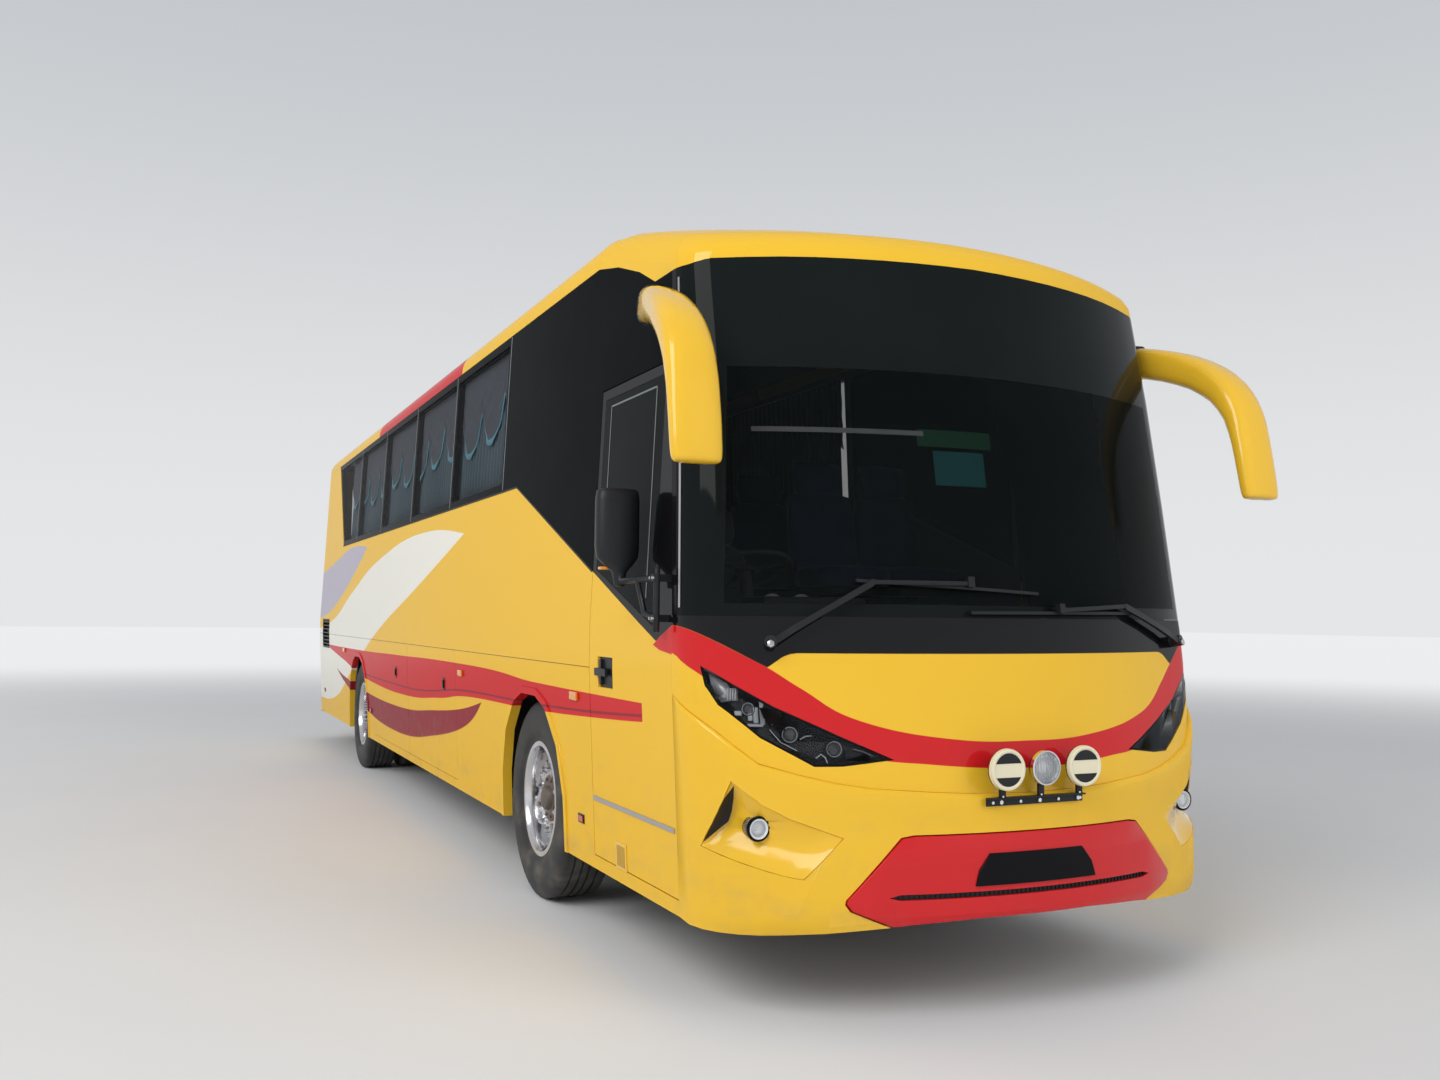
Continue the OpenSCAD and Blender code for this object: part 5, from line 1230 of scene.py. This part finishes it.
class COACH_OT_mirrors(CoachOperator, bpy.types.Operator):
    """Dress the front mirrors and the door mirror, and add their glass"""

    bl_idname = "coach.mirrors"
    bl_label = "Dress mirrors"

    def execute(self, context):
        rounder(dressed_copy("front_mirrors", ("yellow paint", "trim plastic"), angle=60,
                             marks=lambda centre, normal: centre.x < 5.085), 1)
        for side, label in SIDES:
            shape = bmesh.new()
            foot, head = Vector((5.7665, side * 1.355, 2.060)), Vector((5.7200, side * 1.352, 2.300))
            wrapped_plate(shape, (-0.068, 0.068), (0, 1), 4, 4,
                          lambda a, b: foot.lerp(head, b) + Vector((0.004, a, 0)),
                          lambda a, b: foot.lerp(head, b) + Vector((-0.010, a, 0)))
            made = piece("front_mirror_glass_" + label, shape, "coach", "mirror glass", 30)
            rounded(made, 0.003)
            shape = bmesh.new()
            for k in range(5):
                at = (5.090 + 0.016 * k, side * (1.269 + 0.0024 * k), 2.752 - 0.0026 * k)
                spun(shape, [(0.058, -0.004), (0.064, 0.0), (0.058, 0.004)], at, (1, 0, -0.22), 32, closed=True)
            for vert in shape.verts:
                vert.co.z = 2.750 + (vert.co.z - 2.750) * 1.36
                vert.co.y = side * 1.270 + (vert.co.y - side * 1.270) * 0.84
            piece("mirror_bellows_" + label, shape, "coach", "trim plastic", 50)
        dressed_copy("door_mirror", "trim plastic", angle=50)
        shape = bmesh.new()
        add_block(shape, (4.9475, -1.435, 1.755), (4.9555, -1.289, 1.985), 0.0035)
        piece("door_mirror_glass", shape, "driver_door", "mirror glass")
        shape = bmesh.new()
        add_block(shape, (4.985, -1.437, 1.672), (5.020, -1.400, 1.684), 0.003)
        piece("door_mirror_lamp", shape, "driver_door", "amber lens")
        shape = bmesh.new()
        for z in (1.463, 1.620):
            for x in (5.272, 5.298):
                add_disc(shape, 0.007, 0.008, (x, -1.316, z + 0.014), (0, -1, 0), 6)
        piece("door_mirror_bolts", shape, "driver_door", "steel")
        return {"FINISHED"}


class COACH_OT_wipers(CoachOperator, bpy.types.Operator):
    """Dress the wipers and the fittings at the windscreen"""

    bl_idname = "coach.wipers"
    bl_label = "Dress wipers"

    def execute(self, context):
        dressed_copy("wipers", "trim plastic", angle=40, bevel=0.002)
        shape = bmesh.new()
        for step, z in ((-0.423, 1.387), (0.448, 1.393)):
            add_disc(shape, 0.015, 0.010, nose_point(step, z, -0.050), nose_normal(step, z), 6, bevel=0.002)
        piece("wiper_nuts", shape, "coach", "steel")
        shape = bmesh.new()
        nose_plate(shape, (-0.99, -0.325), (2.207, 2.227), 0.016, 0.013, 10)
        for y0, y1, z0, z1 in ((0.475, 0.60, 1.83, 2.03), (0.62, 0.75, 1.80, 2.02), (0.78, 0.93, 1.82, 1.98)):
            nose_plate(shape, (y0, y1), (z0, z1), 0.016, 0.013, 3, 3)
        piece("screen_papers", shape, "coach", "paper")
        shape = bmesh.new()
        nose_plate(shape, (-0.352, -0.019), (2.166, 2.235), 0.017, 0.014, 6)
        piece("screen_green_card", shape, "coach", "green card")
        shape = bmesh.new()
        nose_plate(shape, (-0.290, -0.060), (2.010, 2.150), 0.017, 0.014, 6)
        rounded(piece("screen_teal_card", shape, "coach", "teal card"), 0.02, 60, 4)
        return {"FINISHED"}


class COACH_OT_wheels(CoachOperator, bpy.types.Operator):
    """Build the grooved tyres, and dress the rims with hubs and nuts"""

    bl_idname = "coach.wheels"
    bl_label = "Build wheels"

    def execute(self, context):
        for side, label in SIDES:
            body = "wheel_front_" + label
            self.tyre("front_tyre_" + label + "_rubber", body, (FRONT_AXLE, side * TRACK, AXLE_Z),
                      "front_tyre_" + label)
            for part, y in (("outer", TRACK), ("inner", TRACK - TWIN_PITCH)):
                self.tyre("rear_tyre_" + label + "_" + part, "wheel_rear_" + label, (REAR_AXLE, side * y, AXLE_Z),
                          "rear_tyres_" + label)
            dressed_copy("front_rim_" + label, "polished rim", angle=35)
            dressed_copy("rear_rims_" + label, "polished rim", angle=35)
            self.hub("front_hub_" + label, body, (FRONT_AXLE, side * (TRACK + 0.060), AXLE_Z), side, 0.035)
            self.hub("rear_hub_" + label, "wheel_rear_" + label, (REAR_AXLE, side * (TRACK - 0.070), AXLE_Z), side,
                     0.110)
        return {"FINISHED"}

    def tyre(self, name, body, at, node):
        half = [(0.2866, 0.104), (0.293, 0.119), (0.312, 0.1245), (0.330, 0.1300), (0.336, 0.1360), (0.362, 0.1400),
                (0.400, 0.1448), (0.436, 0.1442), (0.470, 0.1400), (0.490, 0.1320), (0.504, 0.1230),
                (0.5125, 0.1120)]
        tread = [(0.5140, 0.102), (0.5147, 0.072), (0.503, 0.0695), (0.503, 0.0625), (0.5150, 0.060), (0.5150, 0.0265),
                 (0.503, 0.024), (0.503, 0.017), (0.5150, 0.0145)]
        ring = half + tread
        shape = bmesh.new()
        spun(shape, [(r, -h) for r, h in ring] + [(r, h) for r, h in reversed(ring)], at, (0, 1, 0), 64, closed=True)
        piece(name, shape, body, "tyre", 38, replaces=(node,))

    def hub(self, name, body, at, side, bulge):
        out = (0, side, 0)
        bolt_circle, nut_circle = 0.100, 0.1675
        shape = bmesh.new()
        spun(shape, [(0, bulge + 0.012), (0.040, bulge + 0.011), (0.058, bulge + 0.004), (0.064, bulge - 0.010),
                     (0.066, 0.014), (0.088, 0.011), (0.118, 0.009), (0.124, 0.002), (0.124, -0.004), (0, -0.004)],
             at, out, 48)
        for k in range(8):
            angle = math.tau * (k + 0.5) / 8
            place = Vector(at) + Vector((bolt_circle * math.cos(angle), side * 0.010, bolt_circle * math.sin(angle)))
            add_disc(shape, 0.008, 0.010, place, out, 6)
        piece(name, shape, body, "hub iron", 35)
        shape = bmesh.new()
        for k in range(10):
            angle = math.tau * k / 10 + math.tau / 20
            place = Vector(at) + Vector((nut_circle * math.cos(angle), 0, nut_circle * math.sin(angle)))
            add_disc(shape, 0.021, 0.008, place, out, 24, end_radius=0.018)
            add_disc(shape, 0.0165, 0.030, place, out, 6, bevel=0.0015)
            add_disc(shape, 0.0095, 0.036, place, out, 16, bevel=0.001)
        piece(name.replace("hub", "wheel_nuts"), shape, body, "steel", 35)


class COACH_OT_inside(CoachOperator, bpy.types.Operator):
    """Dress the chassis, the floor and the cabin, and build the seats"""

    bl_idname = "coach.inside"
    bl_label = "Dress chassis and cabin"

    def execute(self, context):
        for node in ("chassis_frame", "front_axle", "rear_axle", "knuckle_right", "knuckle_left", "wheel_tubs",
                     "floor_posts"):
            repaint(node, "chassis")
        repaint("air_springs", "rubber")
        repaint("engine_block", "engine")
        for node in ("floor_deck", "luggage_hold", "entrance_steps"):
            repaint(node, "floor grey")
        dressed_copy("dashboard", "grey plastic", angle=35, bevel=0.02)
        self.driving_place()
        self.seats()
        return {"FINISHED"}

    def driving_place(self):
        axis = Vector((-math.sin(math.radians(20)), 0, math.cos(math.radians(20))))
        hub = Vector((FRONT_AXLE + 1.33, -0.62, 1.70))
        rim_radius, grip = 0.215, 0.0135
        rim = [(rim_radius + grip * math.cos(math.tau * k / 12), grip * math.sin(math.tau * k / 12)) for k in range(12)]
        shape = bmesh.new()
        spun(shape, rim, hub, axis, 64, closed=True)
        for turn in (0, 120, 240):
            at = place_matrix(hub, axis, math.radians(turn + 30))
            add_block(shape, (0.03, -0.013, -0.006), (0.206, 0.013, 0.004), 0.002, at)
        spun(shape, [(0, 0.014), (0.030, 0.014), (0.048, 0.009), (0.054, -0.004), (0.050, -0.014), (0, -0.014)],
             hub, axis, 36)
        add_disc(shape, 0.031, 0.62, Vector(hub) - axis * 0.63, axis, 24)
        piece("steering_wheel_rim", shape, "coach", "grey plastic", 40, replaces=("steering_wheel",))
        shape = bmesh.new()
        add_block(shape, (5.10, -0.86, 1.49), (5.34, -0.38, 1.57), 0.02)
        add_block(shape, (5.06, -0.30, 1.42), (5.30, 0.55, 1.49), 0.015)
        for k in range(6):
            add_block(shape, (5.30, -0.85 + 0.13 * k, 1.485), (5.40, -0.76 + 0.13 * k, 1.496), 0.002)
        piece("dashboard_hood", shape, "coach", "grey plastic", 35)
        shape = bmesh.new()
        for y, radius in ((-0.70, 0.055), (-0.56, 0.055), (-0.46, 0.028), (-0.79, 0.028)):
            spun(shape, [(0, 0.002), (radius, 0.002), (radius * 1.06, 0.006), (radius * 1.10, 0.0), (0, 0.0)],
                 (5.098, y, 1.525), (-1, 0, 0), 32)
        piece("dashboard_dials", shape, "coach", "steel")
        path = ((5.36, 0.80, 2.56), (5.40, 0.62, 2.28), (5.42, 0.57, 1.95), (5.36, 0.56, 1.60), (5.28, 0.56, 1.46))
        wire("grab_pole", path, 0.016, "coach", "yellow paint")

    def seats(self):
        """Padded seats, on plain frames, in rows of two pairs."""
        floor = low("passenger_seats").z
        cushions, frames = bmesh.new(), bmesh.new()

        def seat(cushions, frames, x, y, width, floor):
            tilt = Matrix.Rotation(math.radians(-9), 4, "Y")
            add_pad(cushions, (0.45, width, 0.125), Matrix.Translation((x + 0.225, y, floor + 0.405)))
            add_pad(cushions, (0.105, width, 0.52), Matrix.Translation((x - 0.005, y, floor + 0.645)) @ tilt)
            add_pad(cushions, (0.095, width * 0.72, 0.20), Matrix.Translation((x - 0.062, y, floor + 0.985)) @ tilt)
            for x0, x1, half, z0, z1, bevel in (
                    (x + 0.06, x + 0.43, width / 2 - 0.03, 0.30, 0.345, 0.006),
                    (x + 0.09, x + 0.29, 0.03, 0.0, 0.31, 0.006),
                    (x - 0.052, x - 0.040, width / 2 - 0.05, 0.38, 0.80, 0.004)):
                add_block(frames, (x0, y - half, floor + z0), (x1, y + half, floor + z1), bevel)

        row_pitch, first = 0.78, FRONT_AXLE + 0.12
        rows = 1 + int((first - low("passenger_seats").x - 0.12 + 0.01) / row_pitch)
        for row in range(rows):
            for side in (RIGHT, LEFT):
                for y in (0.465, 0.905):
                    seat(cushions, frames, first - row * row_pitch, side * y, 0.42, floor)
        made = piece("passenger_seat_pads", cushions, "coach", "seat cloth", 80, replaces=("passenger_seats",))
        piece("passenger_seat_frames", frames, "coach", "trim plastic")
        cushions, frames = bmesh.new(), bmesh.new()
        seat(cushions, frames, FRONT_AXLE + 0.905, -0.62, 0.46, low("driver_seat").z)
        made = rounder(piece("driver_seat_pads", cushions, "coach", "driver cloth", 80, replaces=("driver_seat",)), 1)
        piece("driver_seat_frame", frames, "coach", "trim plastic")


class COACH_OT_stage(CoachOperator, bpy.types.Operator):
    """Make the floor, the lamps, the world and the camera"""

    bl_idname = "coach.stage"
    bl_label = "Make stage"

    def execute(self, context):
        scene = context.scene
        self.floor(scene)
        self.lamps(scene)
        self.world(scene)
        self.camera(scene)
        scene.view_settings.view_transform = "Standard"
        return {"FINISHED"}

    def floor(self, scene):
        colour = tuple(scene.coach_colours.floor)
        shape = bmesh.new()
        bmesh.ops.create_grid(shape, x_segments=1, y_segments=1, size=120)
        mesh = bpy.data.meshes.new("floor")
        shape.to_mesh(mesh)
        shape.free()
        floor = bpy.data.objects.new("floor", mesh)
        scene.collection.objects.link(floor)
        material, graph, shader = new_material("plain floor")
        shader["Roughness"].default_value = 0.85
        base = graph.mix(graph.noise(0.6, 2.0), colour, tuple(c * 0.96 for c in colour[:3]) + (1,))
        _coords, x, y, _z = graph.place()
        far = graph.math("SQRT", graph.math("ADD", graph.math("MULTIPLY", x, x), graph.math("MULTIPLY", y, y)))
        fade = graph.ramp(far, 9.0, 30.0)
        graph.plug(graph.mix(fade, base, (0, 0, 0, 1)), shader["Base Color"])
        graph.plug(graph.mix(fade, (0, 0, 0, 1), HORIZON), shader["Emission Color"])
        shader["Emission Strength"].default_value = 1.0
        mesh.materials.append(material)

    def lamps(self, scene):
        for name, place, aim, size, power, mirrored in (
                ("key lamp", (11, -12, 11), (1.5, 0, 1.2), 9, 1350, True),
                ("fill lamp", (17, 6, 7), (3, 0, 1.5), 8, 520, False),
                ("back lamp", (-9, -14, 8), (-2, 0, 1.5), 9, 520, False)):
            data = bpy.data.lights.new(name, "AREA")
            data.energy = power
            data.size = size
            lamp = bpy.data.objects.new(name, data)
            scene.collection.objects.link(lamp)
            lamp.location = place
            lamp.rotation_mode = "QUATERNION"
            lamp.rotation_quaternion = (Vector(aim) - Vector(place)).to_track_quat("-Z", "Y")
            lamp.visible_glossy = mirrored

    def world(self, scene):
        world = bpy.data.worlds.new("pale studio")
        scene.world = world
        world.use_nodes = True
        world.node_tree.nodes.clear()
        graph = Graph(world.node_tree)
        sky = graph.add("ShaderNodeBackground")
        path = graph.add("ShaderNodeLightPath")
        direct = graph.math("MAXIMUM", path.outputs["Is Camera Ray"], path.outputs["Is Glossy Ray"])
        direct = graph.math("MAXIMUM", direct, path.outputs["Is Transmission Ray"])
        coords = graph.add("ShaderNodeTexCoord").outputs["Generated"]
        split = graph.add("ShaderNodeSeparateXYZ")
        graph.plug(coords, split.inputs[0])
        shade = graph.mix(graph.ramp(split.outputs[2], 0.02, 0.55), HORIZON, (0.52, 0.54, 0.57, 1))
        graph.plug(shade, sky.inputs["Color"])
        graph.plug(graph.math("MULTIPLY_ADD", direct, 0.18, 0.82), sky.inputs["Strength"])
        output = graph.add("ShaderNodeOutputWorld")
        graph.plug(sky.outputs[0], output.inputs["Surface"])

    def camera(self, scene):
        sizes = scene.coach_sizes
        data = bpy.data.cameras.new("camera")
        data.lens = sizes.camera_lens
        data.sensor_width = 36
        data.clip_end = 500
        camera = bpy.data.objects.new("camera", data)
        scene.collection.objects.link(camera)
        yaw, pitch, roll = sizes.camera_yaw, sizes.camera_pitch, sizes.camera_roll
        ahead = Vector((-math.cos(yaw) * math.cos(pitch), math.sin(yaw) * math.cos(pitch), math.sin(pitch)))
        level = ahead.cross(Vector((0, 0, 1))).normalized()
        upright = level.cross(ahead)
        right = math.cos(roll) * level + math.sin(roll) * upright
        up = -math.sin(roll) * level + math.cos(roll) * upright
        turn = Matrix((right, up, -ahead)).transposed()
        camera.matrix_world = Matrix.Translation(Vector(sizes.camera_place)) @ turn.to_4x4()
        scene.camera = camera


OPERATORS = (COACH_OT_materials, COACH_OT_body, COACH_OT_side_trim, COACH_OT_glass, COACH_OT_headlamps,
             COACH_OT_fog_lamps, COACH_OT_driving_lamps, COACH_OT_rear, COACH_OT_mirrors, COACH_OT_wipers,
             COACH_OT_wheels, COACH_OT_inside, COACH_OT_stage)


class COACH_PT_panel(bpy.types.Panel):
    """Sizes, colours and steps of the coach"""

    bl_idname = "COACH_PT_panel"
    bl_label = "Airport coach"
    bl_space_type = "VIEW_3D"
    bl_region_type = "UI"
    bl_category = "Coach"

    def draw(self, context):
        layout = self.layout
        for group in (context.scene.coach_sizes, context.scene.coach_colours):
            for name in group.__annotations__:
                layout.prop(group, name)
        for operator in OPERATORS:
            layout.operator(operator.bl_idname)


CLASSES = (CoachSizes, CoachColours) + OPERATORS + (COACH_PT_panel,)


def register():
    for item in CLASSES:
        bpy.utils.register_class(item)
    bpy.types.Scene.coach_sizes = bpy.props.PointerProperty(type=CoachSizes)
    bpy.types.Scene.coach_colours = bpy.props.PointerProperty(type=CoachColours)


def unregister():
    del bpy.types.Scene.coach_colours
    del bpy.types.Scene.coach_sizes
    for item in reversed(CLASSES):
        bpy.utils.unregister_class(item)


def main():
    register()
    for operator in OPERATORS:
        group, name = operator.bl_idname.split(".")
        getattr(getattr(bpy.ops, group), name)()


if __name__ == "__main__":
    main()
